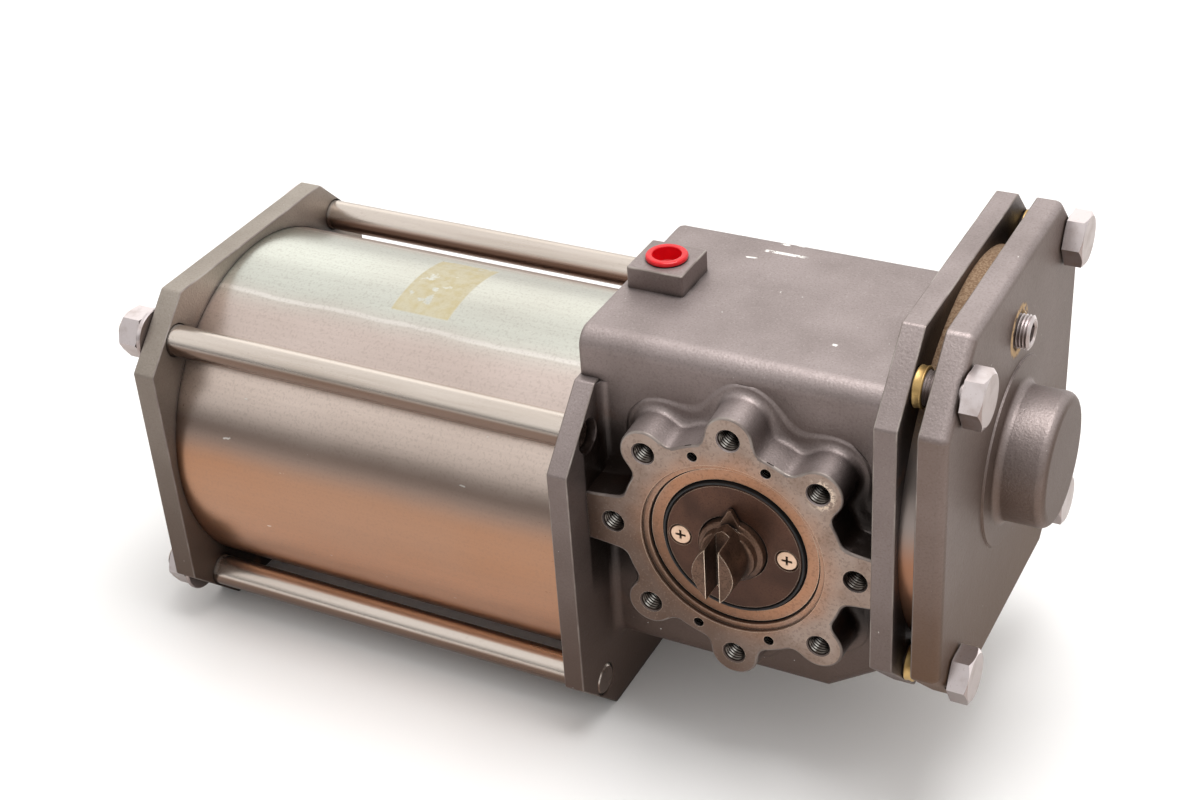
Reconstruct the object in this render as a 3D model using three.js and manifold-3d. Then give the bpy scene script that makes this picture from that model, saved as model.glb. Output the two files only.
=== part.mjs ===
// Spring-return rotary pneumatic actuator, a quarter-turn rack-and-pinion type.
// Units are millimetres and +Z is up. X runs along the cylinder and Y along the output shaft.
// The air cylinder lies on the left. Its piston pulls a rack that runs below the pinion.
// A second rack runs above the pinion, towards the cover on the right.
// Air let in at the port fills the gear chamber and drives the piston against its spring.
// The origin is at the centre of the bounding box's bottom face.

import * as THREE from 'three';
import { mergeVertices } from 'three/addons/utils/BufferGeometryUtils.js';
import Module from 'manifold-3d';

const wasm = await Module();
wasm.setup();

// ---- driving dimensions ----

const gap = 0.3; // between neighbouring pieces
const boreSegments = 48; // round the tube, the shaft bore and the rings that seat in them

const plateSize = 200; // across the flats of each clipped-corner plate
const plateClip = 34; // leg of each clipped corner
const boltPitch = 76.2; // each corner bolt, from the plate's two centre lines

const cylinderZ = plateSize / 2; // the cylinder's axis above the ground
const pitchRadius = 33.5; // of the pinion, and each rack's offset from the shaft
const shaftZ = cylinderZ + pitchRadius;
const coverZ = shaftZ + pitchRadius;
const quarterTurn = Math.PI / 2;
const stroke = pitchRadius * quarterTurn;

const flangeInner = 76.3; // from the shaft to each flange's inner face
const flangeOuter = 87.3;
const bodyHalfY = 61;
const bodyHalfZ = 91;
const bodyCorner = 10;
const bodyStepX = 40; // where the body's floor steps up towards the cover
const bodyWall = 8;
const chamberLeft = -74; // the gear chamber's left wall
const bearingBossRadius = 45;
const saddleHalfY = 31;
const stepTop = coverZ - plateSize / 2;

const tubeLength = 234; // clear length between the flange and the end cap
const tubeOuter = 95;
const tubeInner = 90.5;
const capThickness = 13;
const grooveDepth = 5;
const gasketThickness = 1.4;

const coverGap = 8.7; // between the right flange and the cover
const coverThickness = 13.5;
const coverBossRadius = 33;
const coverBossHeight = 25;
const coverPadRadius = 46;

const rodRadius = 8.5;
const boltRadius = 8;
const hexFlats = 24;
const rodClearance = rodRadius + gap;

const faceY = 82; // from the shaft's mid-plane to each mounting face
const lugCircle = 62.5;
const lugRadius = 12.3;
const hubRadius = 58.5; // of the solid ring between the lugs
const armHalfWidth = 14;
const lugHoleRadius = 5.25;
const lugHoleDepth = 20;
const smallHoleCircle = 52.4;
const smallHoleRadius = 2.5;
const smallHoleTilt = THREE.MathUtils.degToRad(20.7);
const recessRadius = 47.2;
const boreStepRadius = 43.5; // the second, deeper step inside the recess
const boreRadius = 36.9;

const pinionTeeth = 20;
const toothModule = 2 * pitchRadius / pinionTeeth;
const toothPitch = Math.PI * toothModule;
const pressureAngle = THREE.MathUtils.degToRad(20);
const backlash = 0.35; // taken off each flank
const pinionHalfWidth = 24;
const rackRadius = 22;
const rackBore = 26.3;

const journalRadius = 20;
const frontHubRadius = 17;
const shaftFrontY = -104;
const shaftBackY = 80;
const dogSlotWidth = 7;
const socketSize = 22;
const screwCircle = 27.5;

const portX = -67.6;
const portPad = 30;
const portPadTop = 236;
const portRadius = 8.4;

const pistonRadius = 89.8;
const pistonThickness = 24;
const studRadius = 10;
const plugRadius = 8.2;
const pistonRight = -flangeOuter - 6;
const pistonLeft = pistonRight - pistonThickness;

const capInner = -flangeOuter - tubeLength;
const capOuter = capInner - capThickness;
const coverInner = flangeOuter + coverGap;
const coverOuter = coverInner + coverThickness;
const bossEnd = coverOuter + coverBossHeight;
const washerThickness = 2.5;
const nutThickness = 13;
const collarRadius = 9.6;
const collarLength = 4.5;
const rodEnd = capOuter - gap - washerThickness - gap - nutThickness - 4;
const centreX = (rodEnd + bossEnd) / 2;
const centreY = (shaftFrontY + plateSize / 2) / 2;
const plugPoint = [0, 0, coverZ + 66];

const springSeat = capInner + 8 + gap;
const outerSpring = {
  radius: 64,
  wireRadius: 8,
  turns: 8,
  from: springSeat,
  to: pistonLeft - gap,
};
const innerSpring = {
  radius: 38,
  wireRadius: 5.5,
  turns: -8,
  from: springSeat,
  to: pistonLeft + 6 - gap,
};

// ---- materials ----

function material(color, roughness, metalness) {
  return new THREE.MeshStandardMaterial({ color, roughness, metalness });
}

const castSteel = material(0x8b8179, 0.55, 0.85);
const machinedSteel = material(0x9b958d, 0.42, 0.9);
const brushedSteel = material(0xc2bbb0, 0.3, 0.95);
const rodSteel = material(0xa9a29a, 0.32, 0.95);
const boltSteel = material(0xb5afa7, 0.35, 0.95);
const darkSteel = material(0x4a3b31, 0.5, 0.8);
const screwSteel = material(0xc4b6a4, 0.4, 0.9);
const yellowZinc = material(0xc79a3c, 0.4, 0.85);
const bronze = material(0x9a7136, 0.45, 0.9);
const blackRubber = material(0x15151a, 0.8, 0);
const springSteel = material(0x3c3f46, 0.5, 0.85);
const redPlastic = material(0xd81420, 0.35, 0);

// ---- geometry helpers ----

function toSolid(geometry) {
  const bare = geometry.clone();
  bare.deleteAttribute('normal');
  bare.deleteAttribute('uv');
  const merged = mergeVertices(bare, 1e-4);
  return new wasm.Manifold(new wasm.Mesh({
    numProp: 3,
    vertProperties: new Float32Array(merged.attributes.position.array),
    triVerts: new Uint32Array(merged.index.array),
  }));
}

function toGeometry(solid) {
  const mesh = solid.getMesh();
  const geometry = new THREE.BufferGeometry();
  geometry.setAttribute('position', new THREE.BufferAttribute(mesh.vertProperties, 3));
  geometry.setIndex(new THREE.BufferAttribute(mesh.triVerts, 1));
  geometry.computeVertexNormals();
  return geometry;
}

function joined(solids) {
  return solids.reduce((whole, next) => whole.add(next));
}

function cut(solid, tools) {
  return tools.reduce((rest, tool) => rest.subtract(tool), solid);
}

// A profile of [radius, position] points, turned about an axis that runs along X, Y or Z.
function turned(axis, profile, centre, segments = 32) {
  const points = profile.map(([radius, position]) => new THREE.Vector2(radius, position));
  const geometry = new THREE.LatheGeometry(points, segments);
  if (axis === 'x') geometry.rotateZ(-Math.PI / 2);
  if (axis === 'z') geometry.rotateX(Math.PI / 2);
  geometry.translate(...centre);
  const solid = toSolid(geometry);
  return solid.volume() < 0 ? toSolid(flipped(geometry)) : solid;
}

function flipped(geometry) {
  const index = geometry.index.array;
  for (let i = 0; i < index.length; i += 3) {
    [index[i], index[i + 1]] = [index[i + 1], index[i]];
  }
  return geometry;
}

function bar(axis, radius, from, to, centre, segments = 32) {
  return turned(axis, [[0, from], [radius, from], [radius, to], [0, to]], centre, segments);
}

function ring(axis, inner, outer, from, to, centre, segments = boreSegments) {
  const profile = [[inner, from], [outer, from], [outer, to], [inner, to], [inner, from]];
  return turned(axis, profile, centre, segments);
}

// A bar with a small chamfer at both ends.
function chamferedBar(axis, radius, from, to, centre, chamfer = 1, segments = 20) {
  const profile = [
    [0, from],
    [radius - chamfer, from],
    [radius, from + chamfer],
    [radius, to - chamfer],
    [radius - chamfer, to],
    [0, to],
  ];
  return turned(axis, profile, centre, segments);
}

// An outline in the Y-Z plane, extruded along X.
function extrudedX(outline, from, to) {
  const shape = new THREE.Shape(outline.map(([y, z]) => new THREE.Vector2(y, z)));
  const geometry = new THREE.ExtrudeGeometry(shape, { depth: to - from, bevelEnabled: false });
  geometry.applyMatrix4(new THREE.Matrix4().set(
    0, 0, 1, from,
    1, 0, 0, 0,
    0, 1, 0, 0,
    0, 0, 0, 1,
  ));
  return toSolid(geometry);
}

// An outline in the X-Z plane, extruded along Y.
function extrudedY(outline, from, to) {
  const shape = new THREE.Shape(outline.map(([x, z]) => new THREE.Vector2(x, z)));
  const geometry = new THREE.ExtrudeGeometry(shape, { depth: to - from, bevelEnabled: false });
  geometry.rotateX(Math.PI / 2);
  geometry.translate(0, to, 0);
  return toSolid(geometry);
}

function box(x0, x1, y0, y1, z0, z1) {
  const geometry = new THREE.BoxGeometry(x1 - x0, y1 - y0, z1 - z0);
  geometry.translate((x0 + x1) / 2, (y0 + y1) / 2, (z0 + z1) / 2);
  return toSolid(geometry);
}

function hexPrism(across, from, to, centre) {
  const radius = across / Math.sqrt(3);
  const profile = [[0, from], [radius, from], [radius, to], [0, to]];
  return turned('x', profile, centre, 6);
}

function octagon(half, clip, centreZ) {
  const near = half - clip;
  const corners = [
    [half, -near], [half, near], [near, half], [-near, half],
    [-half, near], [-half, -near], [-near, -half], [near, -half],
  ];
  return corners.map(([y, z]) => [y, z + centreZ]);
}

function roundedRectangle(halfY, halfZ, radius, centreZ, steps = 4) {
  const quadrants = [[1, 1], [-1, 1], [-1, -1], [1, -1]];
  return quadrants.flatMap(([signY, signZ], quadrant) => {
    const points = [];
    for (let step = 0; step <= steps; step += 1) {
      const angle = (quadrant + step / steps) * quarterTurn;
      const y = signY * (halfY - radius) + radius * Math.cos(angle);
      const z = signZ * (halfZ - radius) + radius * Math.sin(angle);
      points.push([y, z + centreZ]);
    }
    return points;
  });
}

function cornerPoints(centreZ) {
  const signs = [[-1, 1], [1, 1], [1, -1], [-1, -1]];
  return signs.map(([y, z]) => [0, y * boltPitch, centreZ + z * boltPitch]);
}

function polar(radius, angle) {
  return [radius * Math.cos(angle), radius * Math.sin(angle)];
}

// ---- housing ----

function plate(from, to, centreZ) {
  return extrudedX(octagon(plateSize / 2, plateClip, centreZ), from, to);
}

function cornerHoles(from, to, centreZ) {
  return cornerPoints(centreZ).map((point) => bar('x', rodClearance, from, to, point, 20));
}

function tubeGroove(from, to, centreZ) {
  return ring('x', tubeInner - gap, tubeOuter + gap, from, to, [0, 0, centreZ]);
}

// One mounting face: a ring with eight lugs and two arms that reach the flanges.
function mountingBoss(side) {
  const root = side * (bodyHalfY - 6);
  const [from, to] = [root, side * faceY].sort((a, b) => a - b);
  const pieces = [bar('y', hubRadius, from, to, [0, 0, shaftZ], 40)];
  for (let lug = 0; lug < 8; lug += 1) {
    const [x, z] = polar(lugCircle, lug * Math.PI / 4);
    pieces.push(bar('y', lugRadius, from, to, [x, 0, shaftZ + z], 16));
  }
  const reach = flangeInner + 2;
  pieces.push(box(-reach, reach, from, to, shaftZ - armHalfWidth, shaftZ + armHalfWidth));
  return joined(pieces);
}

function bossHoles(side) {
  const outside = side * (faceY + 1);
  const span = (depth) => [outside, side * (faceY - depth)].sort((a, b) => a - b);
  const holes = [];
  for (let lug = 0; lug < 8; lug += 1) {
    const [x, z] = polar(lugCircle, lug * Math.PI / 4);
    holes.push(bar('y', lugHoleRadius, ...span(lugHoleDepth), [x, 0, shaftZ + z], 12));
  }
  for (const angle of [quarterTurn, 3 * quarterTurn]) {
    for (const tilt of [-smallHoleTilt, smallHoleTilt]) {
      const [x, z] = polar(smallHoleCircle, angle + tilt);
      holes.push(bar('y', smallHoleRadius, ...span(10), [x, 0, shaftZ + z], 8));
    }
  }
  holes.push(bar('y', recessRadius, ...span(2), [0, 0, shaftZ], boreSegments));
  holes.push(bar('y', boreStepRadius, ...span(4), [0, 0, shaftZ], boreSegments));
  return holes;
}

// The cast hollow that holds the gears, less the bearing bosses and the rack saddles inside it.
function gearChamber() {
  const floor = shaftZ - bodyHalfZ + bodyWall;
  const roof = shaftZ + bodyHalfZ - bodyWall;
  const halfY = bodyHalfY - bodyWall;
  const outline = [
    [chamberLeft, floor],
    [bodyStepX - 4, floor],
    [flangeInner, stepTop + bodyWall + 3],
    [flangeInner, roof],
    [chamberLeft, roof],
  ];
  const saddles = [-52, 0, 52].flatMap((x) => [
    box(x - 8, x + 8, -saddleHalfY, saddleHalfY, floor - 1, cylinderZ - 6),
    box(x - 8, x + 8, -saddleHalfY, saddleHalfY, coverZ + 6, roof + 1),
  ]);
  const coreOpening = bar('x', 80, flangeInner - 6, flangeOuter + 1, [0, 0, coverZ], 32);
  return cut(extrudedY(outline, -halfY, halfY), [
    bar('y', bearingBossRadius, -halfY - 1, -30.5, [0, 0, shaftZ], 32),
    bar('y', bearingBossRadius, 30.5, halfY + 1, [0, 0, shaftZ], 32),
    ...saddles,
  ]).add(coreOpening.intersect(box(0, 100, -halfY, halfY, stepTop, roof)));
}

function housingSolid() {
  const outline = roundedRectangle(bodyHalfY, bodyHalfZ, bodyCorner, shaftZ);
  const body = extrudedX(outline, -flangeOuter, flangeOuter);
  const stepOutline = [
    [bodyStepX, shaftZ - bodyHalfZ - 1],
    [flangeOuter + 1, shaftZ - bodyHalfZ - 1],
    [flangeOuter + 1, stepTop],
    [flangeInner, stepTop],
  ];
  const shell = joined([
    cut(body, [extrudedY(stepOutline, -bodyHalfY - 1, bodyHalfY + 1)]),
    plate(-flangeOuter, -flangeInner, cylinderZ),
    plate(flangeInner, flangeOuter, coverZ),
    mountingBoss(-1),
    mountingBoss(1),
    box(portX - portPad / 2, portX + portPad / 2, -portPad / 2, portPad / 2, 215, portPadTop),
  ]);
  return cut(shell, [
    gearChamber(),
    bar('x', rackBore, -flangeOuter - 1, 72, [0, 0, cylinderZ], 24),
    bar('x', rackBore, -66, 72, [0, 0, coverZ], 24),
    bar('y', boreRadius, -faceY - 1, faceY + 1, [0, 0, shaftZ], boreSegments),
    tubeGroove(-flangeOuter - 1, -flangeOuter + grooveDepth, cylinderZ),
    tubeGroove(flangeOuter - grooveDepth, flangeOuter + 1, coverZ),
    ...cornerHoles(-flangeOuter - 1, -flangeInner + 1, cylinderZ),
    ...cornerHoles(flangeInner - 1, flangeOuter + 1, coverZ),
    ...bossHoles(-1),
    ...bossHoles(1),
    bar('z', portRadius, 200, portPadTop + 1, [portX, 0, 0], 20),
  ]);
}

// ---- cylinder ----

function endCapSolid() {
  return cut(plate(capOuter, capInner, cylinderZ), [
    tubeGroove(capInner - grooveDepth, capInner + 1, cylinderZ),
    ...cornerHoles(capOuter - 1, capInner + 1, cylinderZ),
    bar('x', 6.6, capOuter - 1, capInner + 1, [0, 0, cylinderZ], 20),
  ]);
}

function tubeSolid() {
  const seat = grooveDepth - gasketThickness - 2 * gap;
  const centre = [0, 0, cylinderZ];
  return ring('x', tubeInner, tubeOuter, capInner - seat, -flangeOuter + seat, centre);
}

function gasketSolid(from, centreZ) {
  const centre = [0, 0, centreZ];
  return ring('x', tubeInner + 0.7, tubeOuter - 0.2, from, from + gasketThickness, centre, 24);
}

function pistonSolid() {
  const groove = (inner, from, to) => [
    [pistonRadius, from],
    [inner, from],
    [inner, to],
    [pistonRadius, to],
  ];
  const profile = [
    [studRadius + gap, pistonLeft + 6],
    [52, pistonLeft + 6],
    [52, pistonLeft],
    [pistonRadius - 1.5, pistonLeft],
    [pistonRadius, pistonLeft + 1.5],
    ...groove(86, pistonLeft + 3, pistonLeft + 10),
    ...groove(84, pistonLeft + 13, pistonLeft + 19),
    [pistonRadius, pistonRight - 1.5],
    [pistonRadius - 1.5, pistonRight],
    [studRadius + gap, pistonRight],
    [studRadius + gap, pistonLeft + 6],
  ];
  return turned('x', profile, [0, 0, cylinderZ], 32);
}

function pistonRingSolid(inner, from, to) {
  return ring('x', inner, tubeInner - gap, from, to, [0, 0, cylinderZ], 32);
}

function breatherSolid() {
  const centre = [0, 0, cylinderZ];
  return joined([
    bar('x', 6.2, capOuter - 1, capInner - 1, centre, 20),
    hexPrism(17, capOuter - 6, capOuter - gap, centre),
    bar('x', 6.5, capOuter - 12, capOuter - 5, centre, 20),
  ]);
}

class HelixCurve extends THREE.Curve {
  constructor(radius, from, to, turns, centreZ) {
    super();
    Object.assign(this, { radius, from, to, turns, centreZ });
  }

  getPoint(t, target = new THREE.Vector3()) {
    const angle = t * this.turns * 2 * Math.PI;
    const y = this.radius * Math.cos(angle);
    const z = this.centreZ + this.radius * Math.sin(angle);
    return target.set(this.from + t * (this.to - this.from), y, z);
  }
}

function springSolid(spring) {
  const { radius, wireRadius, turns, from, to } = spring;
  const section = new THREE.Shape();
  for (let corner = 0; corner < 6; corner += 1) {
    const [x, y] = polar(wireRadius, corner * Math.PI / 3);
    if (corner === 0) section.moveTo(x, y);
    else section.lineTo(x, y);
  }
  section.closePath();
  const extrudePath = new HelixCurve(radius, from + wireRadius, to - wireRadius, turns, cylinderZ);
  const steps = Math.abs(turns) * 9;
  return toSolid(new THREE.ExtrudeGeometry(section, { steps, extrudePath }));
}

function springSeatSolid() {
  const profile = [
    [12, capInner + gap],
    [74, capInner + gap],
    [74, capInner + 8],
    [50, capInner + 8],
    [50, capInner + 20],
    [45, capInner + 20],
    [45, capInner + 8],
    [12, capInner + 8],
    [12, capInner + gap],
  ];
  return turned('x', profile, [0, 0, cylinderZ], 28);
}

// ---- tie rods, nuts and bolts ----

function tieRodSolid(point, flangeEnd) {
  return chamferedBar('x', rodRadius, rodEnd, flangeEnd, point);
}

function boredHex(across, boreSize, from, to, point) {
  const bore = bar('x', boreSize, from - 1, to + 1, point, 20);
  return hexPrism(across, from, to, point).subtract(bore);
}

function coverBoltSolid(point) {
  const tip = flangeInner + 1;
  const shank = chamferedBar('x', boltRadius, tip, coverOuter + 2, point);
  const headBase = coverOuter + gap;
  return shank.add(hexPrism(hexFlats, headBase, headBase + 10, point));
}

// ---- gear train ----

function involutePoint(baseRadius, radius) {
  const roll = Math.sqrt((radius / baseRadius) ** 2 - 1);
  return roll - Math.atan(roll);
}

function pinionOutline() {
  const baseRadius = pitchRadius * Math.cos(pressureAngle);
  const tipRadius = pitchRadius + toothModule - 0.1;
  const rootRadius = pitchRadius - 1.3 * toothModule;
  const pitchInvolute = involutePoint(baseRadius, pitchRadius);
  const halfTooth = Math.PI / (2 * pinionTeeth) - backlash / pitchRadius;
  const flankSteps = 3;
  const flankRadii = [];
  for (let step = 0; step <= flankSteps; step += 1) {
    flankRadii.push(baseRadius + 0.01 + (tipRadius - baseRadius - 0.01) * step / flankSteps);
  }
  const halfAngleAt = (radius) => halfTooth + pitchInvolute - involutePoint(baseRadius, radius);
  const outline = [];
  for (let tooth = 0; tooth < pinionTeeth; tooth += 1) {
    const middle = quarterTurn + (tooth + 0.5) * 2 * Math.PI / pinionTeeth;
    const rootHalf = halfAngleAt(flankRadii[0]);
    outline.push(polar(rootRadius, middle - rootHalf));
    for (const radius of flankRadii) outline.push(polar(radius, middle - halfAngleAt(radius)));
    for (const radius of [...flankRadii].reverse()) {
      outline.push(polar(radius, middle + halfAngleAt(radius)));
    }
    outline.push(polar(rootRadius, middle + rootHalf));
  }
  return outline.map(([x, z]) => [x, z + shaftZ]);
}

// The lens-shaped head at the shaft's front end, its long axis vertical.
function lensOutline(halfWidth, halfHeight) {
  const arcRadius = (halfHeight ** 2 + halfWidth ** 2) / (2 * halfWidth);
  const arcHalf = Math.asin(halfHeight / arcRadius);
  const points = [];
  for (const side of [1, -1]) {
    for (let step = 0; step < 8; step += 1) {
      const angle = (2 * step / 8 - 1) * arcHalf;
      const x = side * (arcRadius * Math.cos(angle) - arcRadius + halfWidth);
      points.push([x, side * arcRadius * Math.sin(angle) + shaftZ]);
    }
  }
  return points;
}

function shaftSolid() {
  const centre = [0, 0, shaftZ];
  const nub = [[-5, 16], [5, 16], [0.8, 23.5], [-0.8, 23.5]].map(([x, z]) => [x, z + shaftZ]);
  const shaft = joined([
    extrudedY(pinionOutline(), -pinionHalfWidth, pinionHalfWidth),
    bar('y', 28, -29, 29, centre, 32),
    bar('y', journalRadius, -70, shaftBackY, centre, 32),
    bar('y', frontHubRadius, -83, -69, centre, 32),
    extrudedY(nub, -83, -80),
    bar('y', 14, -87, -82, centre, 28),
    extrudedY(lensOutline(11, 17.4), shaftFrontY, -86),
  ]);
  const slotHalf = dogSlotWidth / 2;
  const socketHalf = socketSize / 2;
  return cut(shaft, [
    box(-slotHalf, slotHalf, shaftFrontY - 1, -91, shaftZ - 20, shaftZ + 20),
    box(-socketHalf, socketHalf, 41, shaftBackY + 1, shaftZ - socketHalf, shaftZ + socketHalf),
  ]);
}

// Rack teeth in the X-Z plane; up is 1 when the teeth point up and -1 when they point down.
function rackOutline(from, to, pitchZ, up) {
  const rootZ = pitchZ - up * 1.3 * toothModule;
  const tipZ = pitchZ + up * (toothModule - 0.1);
  const slope = Math.tan(pressureAngle);
  const half = toothPitch / 4 - backlash;
  const tipHalf = half - slope * Math.abs(tipZ - pitchZ);
  const rootHalf = half + slope * Math.abs(pitchZ - rootZ);
  const outline = [];
  const first = Math.ceil((from + rootHalf) / toothPitch);
  const last = Math.floor((to - rootHalf) / toothPitch);
  for (let tooth = first; tooth <= last; tooth += 1) {
    const middle = tooth * toothPitch;
    outline.push([middle - rootHalf, rootZ], [middle - tipHalf, tipZ]);
    outline.push([middle + tipHalf, tipZ], [middle + rootHalf, rootZ]);
  }
  const backZ = pitchZ - up * 2 * rackRadius;
  const closed = [[from, backZ], [from, rootZ], ...outline, [to, rootZ], [to, backZ]];
  return up > 0 ? closed.reverse() : closed;
}

function driveRackSolid() {
  const centre = [0, 0, cylinderZ];
  const toothed = bar('x', rackRadius, -40, 69, centre, 32)
    .intersect(extrudedY(rackOutline(-41, 70, cylinderZ, 1), -30, 30));
  return joined([
    toothed,
    bar('x', rackRadius, pistonRight + gap, -39, centre, 32),
    bar('x', studRadius, pistonLeft - 14, pistonRight + 2, centre, 20),
  ]);
}

function idleRackSolid() {
  const centre = [0, 0, coverZ];
  const toothed = bar('x', rackRadius, -67, 40, centre, 32)
    .intersect(extrudedY(rackOutline(-68, 41, coverZ, -1), -30, 30));
  const rack = toothed.add(chamferedBar('x', rackRadius, 39, 76, centre, 2, 32));
  return rack.subtract(bar('x', 10, 20, 77, centre, 16));
}

// A half-round liner behind a rack; side is -1 below the rack and 1 above it.
function linerSolid(from, to, centreZ, side) {
  const whole = ring('x', rackRadius + gap, rackBore - gap, from, to, [0, 0, centreZ], 32);
  const edge = centreZ + side * 5;
  const far = centreZ + side * 40;
  const half = box(from - 1, to + 1, -40, 40, Math.min(edge, far), Math.max(edge, far));
  return whole.intersect(half);
}

// ---- shaft bearings ----

// A span along Y, measured outwards from the shaft's mid-plane on one side.
function spanY(side, from, to) {
  return [side * from, side * to].sort((a, b) => a - b);
}

function sleeveY(side, inner, outer, from, to, segments = 32) {
  return ring('y', inner, outer, ...spanY(side, from, to), [0, 0, shaftZ], segments);
}

function screwPoints() {
  return [-1, 1].map((hand) => [hand * screwCircle, 0, shaftZ]);
}

function carrierSolid(side) {
  const body = sleeveY(side, journalRadius + 3.5, boreRadius - gap, 30, 75.7);
  return cut(body, screwPoints().map((point) => bar('y', 2.9, ...spanY(side, 55, 77), point, 12)));
}

function retainingPlateSolid(side, hole) {
  const disc = sleeveY(side, hole, 35, 76, 79.5);
  const countersink = [[0, 76.6], [2.9, 76.6], [6.3, 80], [0, 80]];
  const tools = screwPoints().flatMap((point) => [
    bar('y', 2.9, ...spanY(side, 75, 81), point, 12),
    turned('y', countersink.map(([radius, y]) => [radius, side * y]), point, 16),
  ]);
  return cut(disc, tools);
}

function plateScrewSolid(side, point) {
  const profile = [[0, 60], [2.5, 60], [2.5, 76.5], [5.2, 79.2], [5.2, 79.5], [0, 79.5]];
  const screw = turned('y', profile.map(([radius, y]) => [radius, side * y]), point, 16);
  const [x, , z] = point;
  const depth = spanY(side, 78, 80);
  return cut(screw, [
    box(x - 2.7, x + 2.7, ...depth, z - 0.6, z + 0.6),
    box(x - 0.6, x + 0.6, ...depth, z - 2.7, z + 2.7),
  ]);
}

// ---- end cover and port ----

function coverSolid() {
  const centre = [0, 0, coverZ];
  const boss = [
    [0, coverOuter - 1],
    [coverBossRadius, coverOuter - 1],
    [coverBossRadius, bossEnd - 4],
    [coverBossRadius - 4, bossEnd],
    [0, bossEnd],
  ];
  return cut(joined([
    plate(coverInner, coverOuter, coverZ),
    bar('x', coverPadRadius, coverOuter - 1, coverOuter + 1.2, centre, 36),
    turned('x', boss, centre, 36),
  ]), [
    bar('x', rackRadius + 2, coverInner - 1, bossEnd - 4, centre, 24),
    bar('x', 84, coverInner - 1, coverInner + 5, centre, 36),
    tubeGroove(coverInner - 1, coverInner + grooveDepth, coverZ),
    ...cornerHoles(coverInner - 1, coverOuter + 1, coverZ),
    bar('x', plugRadius + gap, coverInner - 1, coverOuter + 1, plugPoint, 20),
  ]);
}

function coverPlugSolid() {
  const plug = chamferedBar('x', plugRadius, coverInner + 2, coverOuter + 6.5, plugPoint, 1.2);
  return plug.subtract(hexPrism(9, coverOuter - 1, coverOuter + 7, plugPoint));
}

function spacerRingSolid() {
  const seat = grooveDepth - gasketThickness - 2 * gap;
  const centre = [0, 0, coverZ];
  return ring('x', tubeInner, tubeOuter, flangeOuter - seat, coverInner + seat, centre);
}

function portCapSolid() {
  const profile = [
    [0, portPadTop - 9],
    [portRadius - 0.5, portPadTop - 9],
    [portRadius - 0.5, portPadTop + gap],
    [10.6, portPadTop + gap],
    [10.6, portPadTop + 2],
    [9.8, portPadTop + 2.6],
    [7, portPadTop + 2.6],
    [6.6, portPadTop - 5],
    [0, portPadTop - 5],
  ];
  return turned('z', profile, [portX, 0, 0], 24);
}

// ---- assembly ----

const actuator = new THREE.Group();
actuator.name = 'rotary_actuator';
actuator.position.set(-centreX, -centreY, 0);

function add(name, solid, look) {
  const mesh = new THREE.Mesh(toGeometry(solid), look);
  mesh.name = name;
  actuator.add(mesh);
}

function addHousing() {
  add('housing', housingSolid(), castSteel);
  add('port_cap', portCapSolid(), redPlastic);
}

function addCylinder() {
  const deepGasket = grooveDepth - gap;
  add('end_cap', endCapSolid(), machinedSteel);
  add('cylinder_tube', tubeSolid(), brushedSteel);
  add('tube_gasket_left', gasketSolid(capInner - deepGasket, cylinderZ), blackRubber);
  const rightGasket = -flangeOuter + deepGasket - gasketThickness;
  add('tube_gasket_right', gasketSolid(rightGasket, cylinderZ), blackRubber);
  add('breather_plug', breatherSolid(), bronze);
  add('spring_seat', springSeatSolid(), darkSteel);
  add('return_spring', springSolid(outerSpring), springSteel);
  add('inner_spring', springSolid(innerSpring), springSteel);
}

function addPiston() {
  add('piston', pistonSolid(), machinedSteel);
  add('piston_wear_ring', pistonRingSolid(86.3, pistonLeft + 3.3, pistonLeft + 9.7), bronze);
  add('piston_seal', pistonRingSolid(84.3, pistonLeft + 13.3, pistonLeft + 18.7), blackRubber);
  const seat = pistonLeft + 6 - gap;
  add('piston_nut', hexPrism(30, seat - 16, seat, [0, 0, cylinderZ])
    .subtract(bar('x', studRadius + gap, seat - 17, seat + 1, [0, 0, cylinderZ], 20)), boltSteel);
}

function addTieRods() {
  const flangeEnds = [-flangeInner - 4.5, -flangeInner, -flangeInner, -flangeInner];
  const washerLeft = capOuter - gap - washerThickness;
  cornerPoints(cylinderZ).forEach((point, index) => {
    const washer = ring('x', rodClearance, 15, washerLeft, capOuter - gap, point, 18);
    const nutRight = washerLeft - gap;
    const nut = boredHex(hexFlats, rodClearance, nutRight - nutThickness, nutRight, point);
    add(`tie_rod_${index + 1}`, tieRodSolid(point, flangeEnds[index]), rodSteel);
    add(`rod_washer_${index + 1}`, washer, boltSteel);
    add(`rod_nut_${index + 1}`, nut, boltSteel);
  });
}

function addGearTrain() {
  add('output_shaft', shaftSolid(), darkSteel);
  add('drive_rack', driveRackSolid(), rodSteel);
  add('idle_rack', idleRackSolid(), rodSteel);
  add('rack_liner_lower', linerSolid(-60, 68, cylinderZ, -1), bronze);
  add('rack_liner_upper', linerSolid(-66, 74, coverZ, 1), bronze);
  const rod = [0, 0, cylinderZ];
  add('rod_bush', ring('x', rackRadius + gap, rackBore - gap, -86.5, chamberLeft - gap, rod, 32), bronze);
}

function addBearings(end, side, hole) {
  add(`bearing_carrier_${end}`, carrierSolid(side), machinedSteel);
  add(`shaft_bush_${end}`, sleeveY(side, journalRadius + 0.2, journalRadius + 3.2, 31, 69.5), bronze);
  add(`shaft_seal_${end}`, sleeveY(side, hole - 0.1, journalRadius + 3.2, 71, 75.4), blackRubber);
  add(`retaining_plate_${end}`, retainingPlateSolid(side, hole), darkSteel);
  add(`plate_ring_${end}`, sleeveY(side, 35.3, boreRadius - gap, 77, 79.8), blackRubber);
  screwPoints().forEach((point, index) => {
    add(`plate_screw_${end}_${index + 1}`, plateScrewSolid(side, point), screwSteel);
  });
}

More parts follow.
